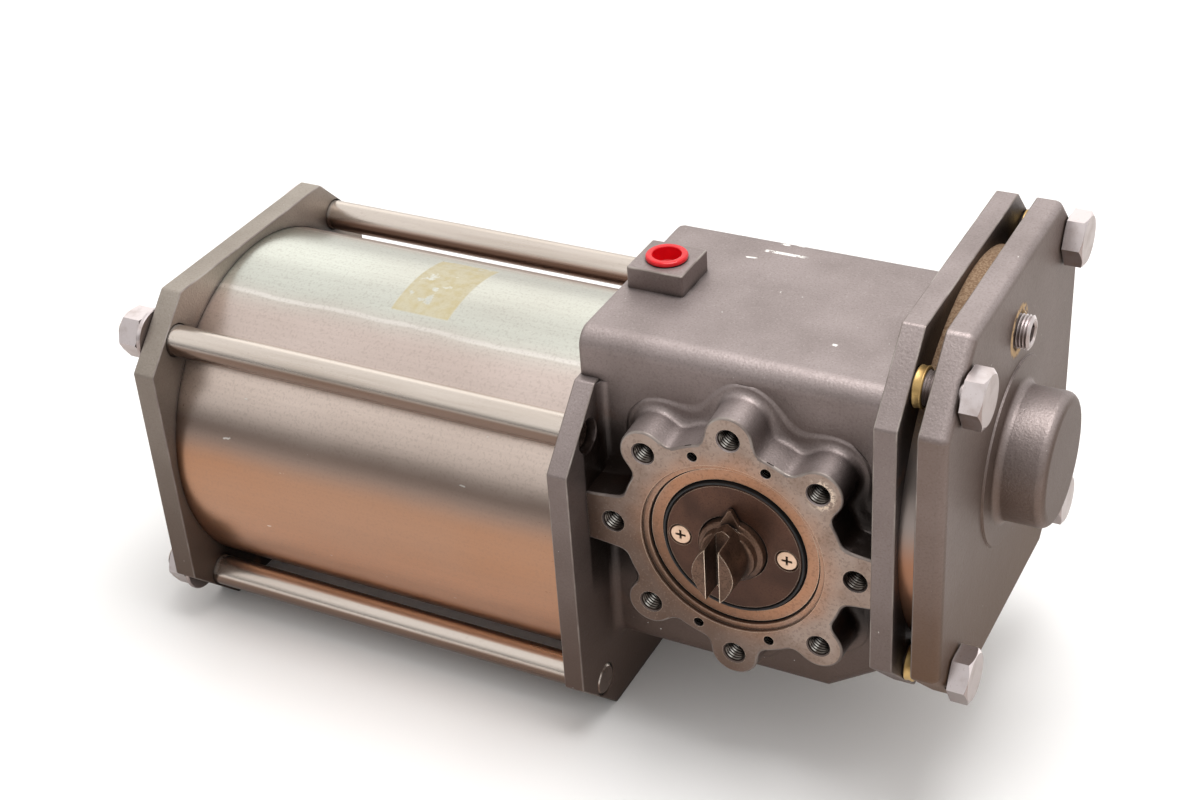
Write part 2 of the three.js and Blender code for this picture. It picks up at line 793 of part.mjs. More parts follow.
function addCover() {
  const deepGasket = grooveDepth - gap;
  add('end_cover', coverSolid(), castSteel);
  add('spacer_ring', spacerRingSolid(), brushedSteel);
  add('cover_gasket_left', gasketSolid(flangeOuter - deepGasket, coverZ), blackRubber);
  const rightGasket = coverInner + deepGasket - gasketThickness;
  add('cover_gasket_right', gasketSolid(rightGasket, coverZ), blackRubber);
  add('cover_plug', coverPlugSolid(), boltSteel);
  cornerPoints(coverZ).forEach((point, index) => {
    const left = flangeOuter + gap;
    const collar = ring('x', boltRadius + gap, collarRadius, left, left + collarLength, point, 24);
    add(`cover_bolt_${index + 1}`, coverBoltSolid(point), boltSteel);
    add(`bolt_collar_${index + 1}`, collar, yellowZinc);
  });
}

addHousing();
addCylinder();
addPiston();
addTieRods();
addGearTrain();
addBearings('front', -1, frontHubRadius + 0.4);
addBearings('back', 1, journalRadius + 0.4);
addCover();

export default actuator;
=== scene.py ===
import math

import bmesh
import bpy
from mathutils import Matrix, Vector


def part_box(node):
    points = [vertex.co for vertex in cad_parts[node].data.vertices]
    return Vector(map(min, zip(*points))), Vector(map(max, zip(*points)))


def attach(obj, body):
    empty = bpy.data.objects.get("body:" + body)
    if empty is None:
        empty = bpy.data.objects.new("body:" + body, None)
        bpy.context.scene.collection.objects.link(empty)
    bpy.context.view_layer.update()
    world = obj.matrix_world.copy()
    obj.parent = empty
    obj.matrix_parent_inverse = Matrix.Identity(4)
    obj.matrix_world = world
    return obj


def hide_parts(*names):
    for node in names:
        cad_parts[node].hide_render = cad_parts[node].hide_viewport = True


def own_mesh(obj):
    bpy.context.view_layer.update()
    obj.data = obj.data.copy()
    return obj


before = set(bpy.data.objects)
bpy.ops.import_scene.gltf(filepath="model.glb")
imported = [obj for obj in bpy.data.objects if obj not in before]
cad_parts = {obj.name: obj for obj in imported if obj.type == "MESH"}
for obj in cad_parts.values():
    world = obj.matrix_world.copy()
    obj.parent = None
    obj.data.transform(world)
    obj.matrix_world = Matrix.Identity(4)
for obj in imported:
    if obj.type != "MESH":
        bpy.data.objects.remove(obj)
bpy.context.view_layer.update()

# A spring-return rotary pneumatic actuator: stainless castings, a brushed cylinder and its bolts.
# Shapes are in millimetres. X is measured from the output shaft's axis, Y from its mid-plane
# and Z from the floor. new_piece() turns them into the frame's metres.

MM = 0.001


def middle(node, axis):
    low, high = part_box(node)
    return (low[axis] + high[axis]) / 2 / MM


ORIGIN = Vector((middle("retaining_plate_front", 0), middle("cylinder_tube", 1), 0))


def low_corner(node):
    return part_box(node)[0] / MM - ORIGIN


def high_corner(node):
    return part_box(node)[1] / MM - ORIGIN


def centre(node):
    return (low_corner(node) + high_corner(node)) / 2


def ends(node):
    """Where a node starts and ends along X."""
    return low_corner(node).x, high_corner(node).x


def half_width(node):
    return (high_corner(node).y - low_corner(node).y) / 2


def on_circle(radius, angles):
    """The X and Z of points on a circle round the output shaft."""
    return [(radius * math.cos(angle), SHAFT_Z + radius * math.sin(angle)) for angle in angles]


# ---- driving dimensions ----

GAP = 0.3
SHAFT_Z = centre("retaining_plate_front").z
CYLINDER_Z = centre("cylinder_tube").z
COVER_Z = centre("spacer_ring").z

PLATE_HALF = high_corner("end_cap").y
PLATE_CLIP = 34
PLATE_CORNER = 2.5
FLANGE_OUTER = high_corner("housing").x
FLANGE_THICKNESS = 11
FLANGE_INNER = FLANGE_OUTER - FLANGE_THICKNESS
TUBE_RADIUS = high_corner("cylinder_tube").y
TUBE_WALL = 4.5
GROOVE_DEPTH = 5

BODY_HALF_Y = 61
BODY_HALF_Z = 91
BODY_ROOF = SHAFT_Z + BODY_HALF_Z
BODY_FLOOR = SHAFT_Z - BODY_HALF_Z
BODY_CORNER = 10
BODY_WALL = 8
BODY_STEP_X = 40
BODY_STEP_TOP = COVER_Z - PLATE_HALF
FILLET = 5
CHAMBER_LEFT = -74
BEARING_BOSS = 45
BEARING_INNER = 30.5
RACK_BORE = 26.3
RACK_RADIUS = 22
LOW_RACK_END = 72
HIGH_RACK_END = -66

FACE_Y = 82
LUG_CIRCLE = 62.5
LUG_RADIUS = 12.3
HUB_RADIUS = 58.5
ARM_HALF_WIDTH = 14
BOSS_BLEND = 7
LUG_HOLE = 5.25
LUG_AXES = on_circle(LUG_CIRCLE, [lug * math.pi / 4 for lug in range(8)])
THREAD_START = 0.9
THREAD_PITCH = 1.75
LUG_TURNS = 11
SMALL_HOLE = 2.5
SMALL_HOLE_CIRCLE = 52.4
SMALL_HOLE_TILT = 20.7
SMALL_HOLE_AXES = on_circle(
    SMALL_HOLE_CIRCLE,
    [math.radians(upright + side * SMALL_HOLE_TILT) for upright in (90, -90) for side in (-1, 1)],
)
BORE_RADIUS = 36.9

SHAFT_CUT = 60
HUB_END = 83
RETAINER_RADIUS = 35
RETAINER_NEAR, RETAINER_FAR = 76, 79.5
SCREW_SHANK = 2.5
SCREW_HEAD = 5.2

ROD_RADIUS = 8.5
BOLT_RADIUS = 8
HEX_FLATS = 24
BREATHER_RADIUS = 6.3
PLUG_RADIUS = 8.2

CAP_OUTER = low_corner("end_cap").x
CAP_INNER = high_corner("end_cap").x
COVER_INNER = low_corner("end_cover").x
BOSS_END = high_corner("end_cover").x
COVER_OUTER = BOSS_END - 25
COVER_BOSS = 33
COVER_PAD = 46
COVER_RECESS = 84

PORT_X = centre("port_cap").x
PORT_CAP_RISE = 2.6
PORT_TOP = high_corner("port_cap").z - PORT_CAP_RISE
PORT_HALF = 15
PORT_PAD_FOOT = 215

SQUARE = ((-1, -1), (1, -1), (1, 1), (-1, 1))
CAST, EDGE, MACHINED, THREAD = range(4)


# ---- mesh helpers ----


def shown(name, data):
    """A new object in the scene."""
    item = bpy.data.objects.new(name, data)
    bpy.context.scene.collection.objects.link(item)
    return item


def new_piece(name, points, faces, indices=None):
    mesh = bpy.data.meshes.new(name)
    mesh.from_pydata([(Vector(point) + ORIGIN) * MM for point in points], [], faces)
    if indices:
        mesh.polygons.foreach_set("material_index", indices)
    tidy = bmesh.new()
    tidy.from_mesh(mesh)
    bmesh.ops.recalc_face_normals(tidy, faces=tidy.faces)
    tidy.to_mesh(mesh)
    tidy.free()
    return shown(name, mesh)


def place(axis, across, up, along):
    if axis == "x":
        return Vector((along, across, up))
    if axis == "y":
        return Vector((across, along, up))
    return Vector((across, up, along))


def loft(name, rings, indices=None):
    """Joins rings that have equal numbers of points, and closes both ends. indices has one material
    for each strip between two rings."""
    count = len(rings[0])
    points = [point for ring in rings for point in ring]
    faces = []
    for near in range(0, len(points) - count, count):
        far = near + count
        for step in range(count):
            after = (step + 1) % count
            faces.append((near + step, near + after, far + after, far + step))
    faces += [tuple(range(count)), tuple(range(len(points) - count, len(points)))]
    strips = indices or [CAST] * (len(rings) - 1)
    materials = [index for index in strips for _ in range(count)]
    return new_piece(name, points, faces, materials + [CAST, CAST])


def turned(name, axis, profile, centre_point=(0, 0, 0), segments=64):
    """Turns a profile of (radius, position) points about an axis. Either may be a function of the
    angle. The profile runs from the axis to the axis, or closes on itself."""
    on_axis = profile[0][0] == 0
    rows = []
    points = []
    for radius, position in profile:
        count = 1 if radius == 0 else segments
        rows.append(range(len(points), len(points) + count))
        for step in range(count):
            angle = 2 * math.pi * step / segments
            reach = radius(angle) if callable(radius) else radius
            along = position(angle) if callable(position) else position
            point = place(axis, reach * math.cos(angle), reach * math.sin(angle), along)
            points.append(point + Vector(centre_point))
    faces = []
    pairs = list(zip(rows, rows[1:]))
    if not on_axis:
        pairs.append((rows[-1], rows[0]))
    for near, far in pairs:
        for step in range(segments):
            after = (step + 1) % segments
            corners = [near[step % len(near)], near[after % len(near)]]
            corners += [far[after % len(far)], far[step % len(far)]]
            faces.append(tuple(dict.fromkeys(corners)))
    return new_piece(name, points, faces)


def turned_on(node, name, profile, segments):
    """Turns a profile about the lengthwise line through a node's middle."""
    point = centre(node)
    return turned(name, "x", profile, (0, point.y, point.z), segments)


def turned_across(name, profile, segments, side=1, x=0, z=SHAFT_Z):
    """Turns a profile about a line across the actuator, towards its back, or its front for side -1."""
    return turned(name, "y", [(radius, side * along) for radius, along in profile], (x, 0, z), segments)


def bar(radius, start, end):
    """A plain round bar's profile."""
    return [(0, start), (radius, start), (radius, end), (0, end)]


def sleeve(inner, outer, start, end):
    """A plain tube's profile."""
    return [(inner, start), (outer, start), (outer, end), (inner, end)]


def arc(middle_point, radius, start, end, steps=4):
    """Points on an arc, as (across, along), with angles in degrees."""
    points = []
    for step in range(steps + 1):
        angle = math.radians(start + (end - start) * step / steps)
        across = middle_point[0] + radius * math.cos(angle)
        points.append((across, middle_point[1] + radius * math.sin(angle)))
    return points


def rounded(outline, radius, steps=4):
    """Rounds every corner of a convex outline that runs anticlockwise."""
    points = []
    for index, corner in enumerate(outline):
        here = Vector(corner)
        before = (Vector(outline[index - 1]) - here).normalized()
        after = (Vector(outline[(index + 1) % len(outline)]) - here).normalized()
        half = before.angle(after) / 2
        centre_point = here + (before + after).normalized() * radius / math.sin(half)
        start = here + before * radius / math.tan(half) - centre_point
        turn = (math.pi - 2 * half) / steps
        for step in range(steps + 1):
            spin = Matrix.Rotation(turn * step, 2)
            points.append(tuple(centre_point + spin @ start))
    return points


def grown(outline, distance):
    """Moves every side of a convex anticlockwise outline outwards by distance."""
    points = []
    for index, corner in enumerate(outline):
        here = Vector(corner)
        before = (here - Vector(outline[index - 1])).normalized()
        after = (Vector(outline[(index + 1) % len(outline)]) - here).normalized()
        bisector = Vector((before.y + after.y, -before.x - after.x)).normalized()
        reach = bisector.dot(Vector((before.y, -before.x)))
        points.append(tuple(here + bisector * distance / reach))
    return points


def prism(name, axis, corners, corner_radius, near, far, near_edge=0.7, far_edge=0.7, steps=3):
    """A prism with rounded corners and rims. Crisp rims take the edge material, worn and with a painted
    highlight.
    """
    layers = arc((near + near_edge, near_edge), near_edge, 180, 270, steps)
    layers += arc((far - far_edge, far_edge), far_edge, 270, 360, steps)
    rings = []
    for along, inward in layers:
        outline = rounded(grown(corners, -inward), max(corner_radius - inward, 0.4))
        rings.append([place(axis, across, up, along) for across, up in outline])
    worn = [EDGE if edge < 1 else CAST for edge in (near_edge, far_edge)]
    return loft(name, rings, [worn[0]] * steps + [CAST] + [worn[1]] * steps)


def block(name, low, high):
    """A plain box, used only as a cutting tool."""
    outline = [(low[1], low[2]), (high[1], low[2]), (high[1], high[2]), (low[1], high[2])]
    rings = [[place("x", across, up, along) for across, up in outline] for along in (low[0], high[0])]
    return loft(name, rings)


def combine(piece, tools, operation):
    """Joins tools to a piece or cuts them out of it, and uses them up."""
    for tool in tools:
        modifier = piece.modifiers.new("boolean", "BOOLEAN")
        modifier.object = tool
        modifier.operation = operation
        modifier.solver = "MANIFOLD"
    graph = bpy.context.evaluated_depsgraph_get()
    mesh = bpy.data.meshes.new_from_object(piece.evaluated_get(graph))
    piece.modifiers.clear()
    piece.data = mesh
    for tool in tools:
        bpy.data.objects.remove(tool)
    return piece


def join(piece, *tools):
    return combine(piece, tools, "UNION")


def cut(piece, *tools):
    return combine(piece, tools, "DIFFERENCE")


def cad_copy(name, node):
    """A closed copy of a CAD node's mesh, as the start of a finer piece."""
    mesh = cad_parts[node].data.copy()
    mesh.materials.clear()
    tidy = bmesh.new()
    tidy.from_mesh(mesh)
    bmesh.ops.remove_doubles(tidy, verts=tidy.verts, dist=1e-6)
    tidy.to_mesh(mesh)
    tidy.free()
    return shown(name, mesh)


def dress(piece, node, slot, *looks, body="actuator_body"):
    """Gives a finished piece its materials and its body, and hides the CAD node that it replaces; slot is
    not used.
    """
    indices = [face.material_index for face in piece.data.polygons]
    piece.data.materials.clear()
    for look in looks:
        piece.data.materials.append(look)
    piece.data.polygons.foreach_set("material_index", indices)
    piece.data.shade_smooth()
    piece.data.set_sharp_from_angle(angle=math.radians(28))
    piece.modifiers.new("weighted_normals", "WEIGHTED_NORMAL").keep_sharp = True
    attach(piece, body)
    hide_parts(node)
    return piece


def octagon(centre_z):
    """A plate's outline: a square with clipped corners."""
    half, near = PLATE_HALF, PLATE_HALF - PLATE_CLIP
    corners = [(half, -near), (half, near), (near, half), (-near, half)]
    corners += [(-y, -z) for y, z in corners]
    return [(y, z + centre_z) for y, z in corners]


def thread(crest, root, start, end, pitch):
    """A thread's flanks as (radius, position) points."""
    turns = max(1, round(abs(end - start) / pitch))
    points = []
    for step in range(2 * turns + 1):
        radius = crest if step % 2 == 0 else root
        points.append((radius, start + (end - start) * step / (2 * turns)))
    return points


def hexagon(flats):
    def radius(angle):
        return flats / 2 / math.cos(angle % (math.pi / 3) - math.pi / 6)
    return radius


def hex_side(flats, start, end, crowned_start, crowned_end):
    """A hexagon's side faces, with 30 degree crowns that run into round end faces."""
    radius = hexagon(flats)
    flat_circle = flats / 2 * 0.97

    def crown(edge, direction):
        def position(angle):
            return edge + direction * (radius(angle) - flat_circle) * math.tan(math.radians(30))
        return position

    first = [(flat_circle, start), (radius, crown(start, 1))] if crowned_start else [(radius, start)]
    last = [(radius, crown(end, -1)), (flat_circle, end)] if crowned_end else [(radius, end)]
    return first + last


# ---- housing ----


def body_ring(x, grow=0.0):
    """The body's section at x: a rounded rectangle whose floor rises towards the cover."""
    rise = min(max((x - BODY_STEP_X) / (FLANGE_INNER - BODY_STEP_X), 0), 1)
    low = BODY_FLOOR + rise * (BODY_STEP_TOP - BODY_FLOOR) - grow
    high, half = BODY_ROOF + grow, BODY_HALF_Y + grow
    outline = rounded([(-half, low), (half, low), (half, high), (-half, high)], BODY_CORNER + grow, 6)
    return [place("x", across, up, x) for across, up in outline]


def body_shell():
    end_round = 3
    rings = []
    for inward, x in arc((end_round, end_round), end_round, 270, 180, 3):
        rings.append(body_ring(x - FLANGE_OUTER, -inward))
    rings += [body_ring(x) for x in (BODY_STEP_X, FLANGE_INNER, FLANGE_OUTER - 1)]
    return loft("housing_casting", rings)


def collar(side):
    """The cast fillet where the body runs into a flange."""
    root = side * FLANGE_INNER
    rings = [body_ring(root + side * 3, FILLET)]
    for grow, inward in arc((FILLET, FILLET), FILLET, 270, 180, 5):
        rings.append(body_ring(root - side * inward, grow))
    rings.append(body_ring(root - side * (FILLET + 0.5), -1))
    piece = loft("collar", rings)
    if side < 0:
        return cut(piece, block("clip", (-95, -90, CYLINDER_Z + PLATE_HALF - 1), (-60, 90, 260)))
    return cut(piece, block("clip", (60, -90, 20), (95, 90, BODY_STEP_TOP + 1)))


def soft_union(first, second, blend):
    share = max(blend - abs(first - second), 0) / blend
    return min(first, second) - share * share * blend / 4


def boss_distance(x, z, blend):
    """How far a point lies outside the mounting boss's outline. Z is measured from the shaft."""
    distance = math.hypot(x, z) - HUB_RADIUS
    for lug_x, lug_z in LUG_AXES:
        away = math.hypot(x - lug_x, z + SHAFT_Z - lug_z)
        distance = soft_union(distance, away - LUG_RADIUS, blend)
    reach = Vector((abs(x) - FLANGE_INNER - 20, abs(z) - ARM_HALF_WIDTH))
    arm = min(max(reach), 0) + Vector((max(reach.x, 0), max(reach.y, 0))).length
    return soft_union(distance, arm, blend)


def boss_outline(grow, count=400):
    """The lugs' outline, grown outwards. The further it is grown, the softer its inner corners."""
    outline = []
    blend = BOSS_BLEND + max(grow, 0) * 1.5
    for step in range(count):
        angle = 2 * math.pi * step / count
        inside, outside = HUB_RADIUS - 12, FLANGE_INNER + 4
        for _ in range(14):
            radius = (inside + outside) / 2
            distance = boss_distance(radius * math.cos(angle), radius * math.sin(angle), blend)
            inside, outside = (radius, outside) if distance < grow else (inside, radius)
        outline.append((radius * math.cos(angle), radius * math.sin(angle) + SHAFT_Z))
    return outline


def mounting_boss(side):
    """A mounting face's ring of lugs: a soft pad, a root fillet, drafted walls and a soft rim."""
    body, pad, root, rim = BODY_HALF_Y, BODY_HALF_Y + 1, 3.8, 1.1
    layers = [(body - 6, 6.8), (body, 6.4), (body + 0.1, 6.0), (body + 0.4, 5.6)]
    layers += [(pad - 0.3, 5.2), (pad - 0.05, 4.8)]
    layers += [(pad + root + up, 0.6 + root + out) for out, up in arc((0, 0), root, 270, 180, 6)]
    layers += [(FACE_Y - rim + up, -rim + out) for out, up in arc((0, 0), rim, 0, 90, 3)]
    rings = []
    for along, grow in layers:
        rings.append([place("y", across, up, side * along) for across, up in boss_outline(grow)])
    return loft("mounting_boss", rings, [CAST] * (len(layers) - 4) + [EDGE] * 3)


def lug_holes(side):
    """Eight threaded blind holes and four small ones in a mounting face."""
    start = FACE_Y - THREAD_START
    lug = [(0, FACE_Y + 1), (LUG_HOLE + 1.9, FACE_Y + 1), (LUG_HOLE + 0.3, FACE_Y - 0.7)]
    lug += thread(LUG_HOLE + 0.25, LUG_HOLE - 0.55, start, start - LUG_TURNS * THREAD_PITCH, THREAD_PITCH)
    lug += [(0, FACE_Y - 23)]
    small = [(0, FACE_Y + 1), (SMALL_HOLE + 0.8, FACE_Y + 1), (SMALL_HOLE, FACE_Y - 0.4)]
    small += [(SMALL_HOLE, FACE_Y - 10), (0, FACE_Y - 11)]
    tools = [turned_across("hole", lug, 32, side, x, z) for x, z in LUG_AXES]
    tools += [turned_across("hole", small, 24, side, x, z) for x, z in SMALL_HOLE_AXES]
    return tools


def shaft_bore():
    """The stepped bore, with its recess, lip and groove at both mounting faces."""
    recess, lip, step = 47.2, 44.3, 43.3
    shelf, seat, groove = FACE_Y - 2, FACE_Y - 4, FACE_Y - 5.2
    half = [(0, FACE_Y + 1), (recess + 1, FACE_Y + 1), (recess, FACE_Y - 0.4), (recess, shelf)]
    half += [(lip + 0.3, shelf - 0.1), (lip, shelf - 0.4), (lip, groove), (step, groove), (step, seat)]
    half += [(BORE_RADIUS + 0.6, seat), (BORE_RADIUS, seat - 0.6)]
    profile = [(radius, -along) for radius, along in half] + half[::-1]
    return turned_across("bore", profile, 128)


def chamber_tools():
    """The cast hollow for the gears, less its bearing bosses, and the two rack bores."""
    half, roof = BODY_HALF_Y - BODY_WALL, BODY_ROOF - BODY_WALL
    left_floor, right_floor = BODY_FLOOR + BODY_WALL, BODY_STEP_TOP + BODY_WALL + 3
    chamber = block("chamber", (CHAMBER_LEFT, -half, left_floor), (BODY_STEP_X - 4, half, roof))
    right = block("right", (BODY_STEP_X - 5, -half, right_floor), (FLANGE_INNER, half, roof))
    boss = bar(BEARING_BOSS, BEARING_INNER, half + 1)
    bosses = [turned_across("bearing_boss", boss, 48, side) for side in (-1, 1)]
    low_rack = bar(RACK_BORE, -FLANGE_OUTER - 1, LOW_RACK_END)
    high_rack = bar(RACK_BORE, HIGH_RACK_END, FLANGE_OUTER + 1)
    return [
        cut(join(chamber, right), *bosses),
        turned("rack_bore", "x", low_rack, (0, 0, CYLINDER_Z), 48),
        turned("rack_bore", "x", high_rack, (0, 0, COVER_Z), 48),
    ]


def ring_groove(start, end, centre_z):
    """A groove in a plate for the cylinder tube or the spacer ring."""
    profile = sleeve(TUBE_RADIUS - TUBE_WALL - GAP, TUBE_RADIUS + GAP, start, end)
    return turned("groove", "x", profile, (0, 0, centre_z), 128)


def corner_holes(start, end, centre_z):
    """Through holes at a plate's four corners, with broken edges."""
    radius = ROD_RADIUS + GAP
    wide = radius + 1.6
    profile = [(0, start - 1), (wide, start - 1), (radius, start + 0.6)]
    profile += [(radius, end - 0.6), (wide, end + 1), (0, end + 1)]
    pitch = abs(centre("tie_rod_1").y)
    places = [(0, across * pitch, centre_z + up * pitch) for across, up in SQUARE]
    return [turned("hole", "x", profile, point, 48) for point in places]


def port_hole():
    root = 7.4
    profile = [(0, PORT_TOP + 1), (9.9, PORT_TOP + 1), (8.4, PORT_TOP - 0.5)]
    profile += thread(8.4, root, PORT_TOP - 1, PORT_TOP - 20, 1.4) + [(root, 200), (0, 200)]
    return turned("port", "z", profile, (PORT_X, 0, 0), 48)


def mark_faces(piece):
    """Gives the mounting faces and the holes their own materials."""
    for face in piece.data.polygons:
        point = face.center / MM - ORIGIN
        across = math.hypot(point.x, point.z - SHAFT_Z)
        depth = abs(point.y)
        if FACE_Y - 6 < depth < FACE_Y + 1 and abs(face.normal.y) > 0.98:
            face.material_index = MACHINED
        elif across < 49 and depth > 30 and abs(face.normal.y) < 0.9:
            face.material_index = MACHINED
        elif FACE_Y - 24 < depth < FACE_Y - 0.7 and in_threaded_hole(point):
            face.material_index = THREAD


def in_threaded_hole(point):
    away = [math.hypot(point.x - x, point.z - z) for x, z in LUG_AXES + SMALL_HOLE_AXES]
    return min(away) < LUG_HOLE + 1


def housing():
    pad = [(PORT_X + x * PORT_HALF, y * PORT_HALF) for x, y in SQUARE]
    left = prism("flange", "x", octagon(CYLINDER_Z), PLATE_CORNER, -FLANGE_OUTER, -FLANGE_INNER)
    right = prism("flange", "x", octagon(COVER_Z), PLATE_CORNER, FLANGE_INNER, FLANGE_OUTER)
    port_pad = prism("port_pad", "z", pad, 1.2, PORT_PAD_FOOT, PORT_TOP, 0.5, 0.8)
    bosses = [mounting_boss(-1), mounting_boss(1)]
    piece = join(body_shell(), left, right, collar(-1), collar(1), *bosses, port_pad)
    cut(
        piece,
        shaft_bore(),
        *chamber_tools(),
        ring_groove(-FLANGE_OUTER - 1, -FLANGE_OUTER + GROOVE_DEPTH, CYLINDER_Z),
        ring_groove(FLANGE_OUTER - GROOVE_DEPTH, FLANGE_OUTER + 1, COVER_Z),
        *corner_holes(-FLANGE_OUTER, -FLANGE_INNER, CYLINDER_Z),
        *corner_holes(FLANGE_INNER, FLANGE_OUTER, COVER_Z),
        *lug_holes(-1),
        *lug_holes(1),
        port_hole(),
    )
    mark_faces(piece)
    return piece


# ---- cylinder, tie rods and cover ----


def tube():
    profile = sleeve(TUBE_RADIUS - TUBE_WALL, TUBE_RADIUS, *ends("cylinder_tube"))
    return turned("cylinder_shell", "x", profile, (0, 0, CYLINDER_Z), 192)


def end_cap():
    breather_hole = bar(BREATHER_RADIUS + GAP, CAP_OUTER - 1, CAP_INNER + 1)
    return cut(
        prism("end_cap_plate", "x", octagon(CYLINDER_Z), PLATE_CORNER, CAP_OUTER, CAP_INNER),
        ring_groove(CAP_INNER - GROOVE_DEPTH, CAP_INNER + 1, CYLINDER_Z),
        *corner_holes(CAP_OUTER, CAP_INNER, CYLINDER_Z),
        turned("hole", "x", breather_hole, (0, 0, CYLINDER_Z), 48),
    )


def tie_rod(index):
    node = f"tie_rod_{index}"
    start, end = ends(node)
    threaded = CAP_OUTER + 2
    profile = [(0, start), (ROD_RADIUS - 1.2, start)]
    profile += thread(ROD_RADIUS - 0.1, ROD_RADIUS - 1, start + 1.2, threaded, THREAD_PITCH)
    profile += [(ROD_RADIUS, threaded + 0.6), (ROD_RADIUS, end - 1.2), (ROD_RADIUS - 1.2, end), (0, end)]
    return turned_on(node, f"tie_rod_bar_{index}", profile, 48)


def rod_washer(index):
    node = f"rod_washer_{index}"
    start, end = ends(node)
    hole, rim, edge = ROD_RADIUS + GAP, half_width(node), 0.5
    profile = [(hole, start), (rim - edge, start), (rim, start + edge)]
    profile += [(rim, end - edge), (rim - edge, end), (hole, end)]
    return turned_on(node, f"rod_washer_disc_{index}", profile, 64)


def rod_nut(index):
    node = f"rod_nut_{index}"
    start, end = ends(node)
    hole, edge = ROD_RADIUS + GAP, 0.9
    profile = [(hole + edge, start)] + hex_side(HEX_FLATS, start, end, True, True)
    profile += [(hole + edge, end), (hole, end - edge), (hole, start + edge)]
    return turned_on(node, f"rod_nut_hex_{index}", profile, 72)


def bolt_collar(index):
    """A zinc ring on a cover bolt, with rounded rims and a shallow waist."""
    node = f"bolt_collar_{index}"
    start, end = ends(node)
    hole, rim, soft = BOLT_RADIUS + GAP, half_width(node), 0.8
    profile = [(hole, start), (rim - soft, start)] + arc((rim - soft, start + soft), soft, -60, 0, 3)
    profile += [(rim - 0.35, (start + end) / 2)] + arc((rim - soft, end - soft), soft, 0, 60, 3)
    profile += [(rim - soft, end), (hole, end)]
    return turned_on(node, f"bolt_collar_ring_{index}", profile, 64)


def cover_bolt(index):
    node = f"cover_bolt_{index}"
    start, end = ends(node)
    head, washer_face = COVER_OUTER + GAP, 11.4
    hex_start = head + 0.5
    profile = [(0, start), (BOLT_RADIUS - 1, start)]
    profile += thread(BOLT_RADIUS, BOLT_RADIUS - 0.9, start + 1, COVER_INNER + 3, THREAD_PITCH)
    profile += [(BOLT_RADIUS, COVER_INNER + 4), (BOLT_RADIUS, head), (washer_face, head)]
    profile += [(washer_face, hex_start)] + hex_side(HEX_FLATS, hex_start, end, False, True) + [(0, end)]
    return turned_on(node, f"cover_bolt_hex_{index}", profile, 72)


def cover_boss():
    """The closed boss on the end cover and the low round pad that it stands on."""
    pad, top, foot = COVER_PAD + 1.5, COVER_OUTER + 1.2, COVER_OUTER - 4
    profile = [(0, foot), (pad, foot), (pad, COVER_OUTER - 0.1)]
    profile += arc((pad, COVER_OUTER + 0.6), 0.6, 270, 180, 2)
    profile += arc((COVER_PAD - 0.1, top - 0.6), 0.6, 0, 90, 2)
    profile += arc((COVER_BOSS + 4, top + 4), 4, 270, 180, 5)
    profile += arc((COVER_BOSS - 5, BOSS_END - 5), 5, 0, 90, 5) + [(0, BOSS_END)]
    return turned("boss", "x", profile, (0, 0, COVER_Z), 96)


def end_cover():
    outline, corner, rim = octagon(COVER_Z), PLATE_CORNER + 2, 4.5
    plate = prism("end_cover_casting", "x", outline, corner, COVER_INNER, COVER_OUTER, 0.7, rim, 5)
    start, hole = COVER_INNER - 1, PLUG_RADIUS + GAP
    plug_hole = [(0, start), (hole, start), (hole, COVER_OUTER - 1)]
    plug_hole += [(hole + 2.5, COVER_OUTER + 1.5), (0, COVER_OUTER + 1.5)]
    return cut(
        join(plate, cover_boss()),
        turned("rack", "x", bar(RACK_RADIUS + 2, start, BOSS_END - 4), (0, 0, COVER_Z), 64),
        turned("recess", "x", bar(COVER_RECESS, start, COVER_INNER + 5), (0, 0, COVER_Z), 96),
        ring_groove(start, COVER_INNER + GROOVE_DEPTH, COVER_Z),
        *corner_holes(COVER_INNER, COVER_OUTER, COVER_Z),
        turned_on("cover_plug", "hole", plug_hole, 48),
    )


def cover_plug():
    start, end = ends("cover_plug")
    radius, flats = PLUG_RADIUS, 9
    socket = hexagon(flats)
    profile = [(0, start), (radius - 1.2, start)] + thread(radius, radius - 0.9, start + 1.2, end - 1, 1.6)
    profile += [(radius - 1.5, end), (flats / 2 + 1.2, end)]
    profile += [(socket, end - 0.8), (socket, end - 7), (0, end - 8)]
    return turned_on("cover_plug", "cover_plug_screw", profile, 72)


def spacer_ring():
    profile = sleeve(TUBE_RADIUS - TUBE_WALL, TUBE_RADIUS, *ends("spacer_ring"))
    return turned("spacer_band", "x", profile, (0, 0, COVER_Z), 160)


def breather():
    start, end = ends("breather_plug")
    radius, flats, neck = BREATHER_RADIUS, 17, 6.2
    hex_start, hex_end = CAP_OUTER - 6, CAP_OUTER - GAP
    profile = [(0, start)] + arc((radius - 2, start + 2), 2, 270, 360, 3)
    profile += thread(radius, radius - 0.4, start + 2.4, hex_start - 0.2, 0.9)
    profile += hex_side(flats, hex_start, hex_end, True, False) + [(neck, hex_end), (neck, end), (0, end)]
    return turned("breather_silencer", "x", profile, (0, 0, CYLINDER_Z), 72)


def port_cap():
    low, high = low_corner("port_cap"), high_corner("port_cap")
    flange = PORT_TOP + GAP
    profile = [(0, low.z)] + arc((6.9, low.z + 1), 1, 270, 360, 3) + [(7.9, flange)]
    profile += [(10.2, flange)] + arc((10, flange + 0.6), 0.6, 320, 360, 2)
    profile += arc((9.5, high.z - 1.1), 1.1, 0, 90, 4) + arc((7.9, high.z - 0.7), 0.7, 90, 180, 3)
    profile += [(6.9, PORT_TOP - 4.2)] + arc((6.1, PORT_TOP - 4.2), 0.8, 0, -90, 3) + [(0, PORT_TOP - 5)]
    return turned("port_cap_moulding", "z", profile, (PORT_X, 0, 0), 64)


# ---- output shaft and its retaining plates ----


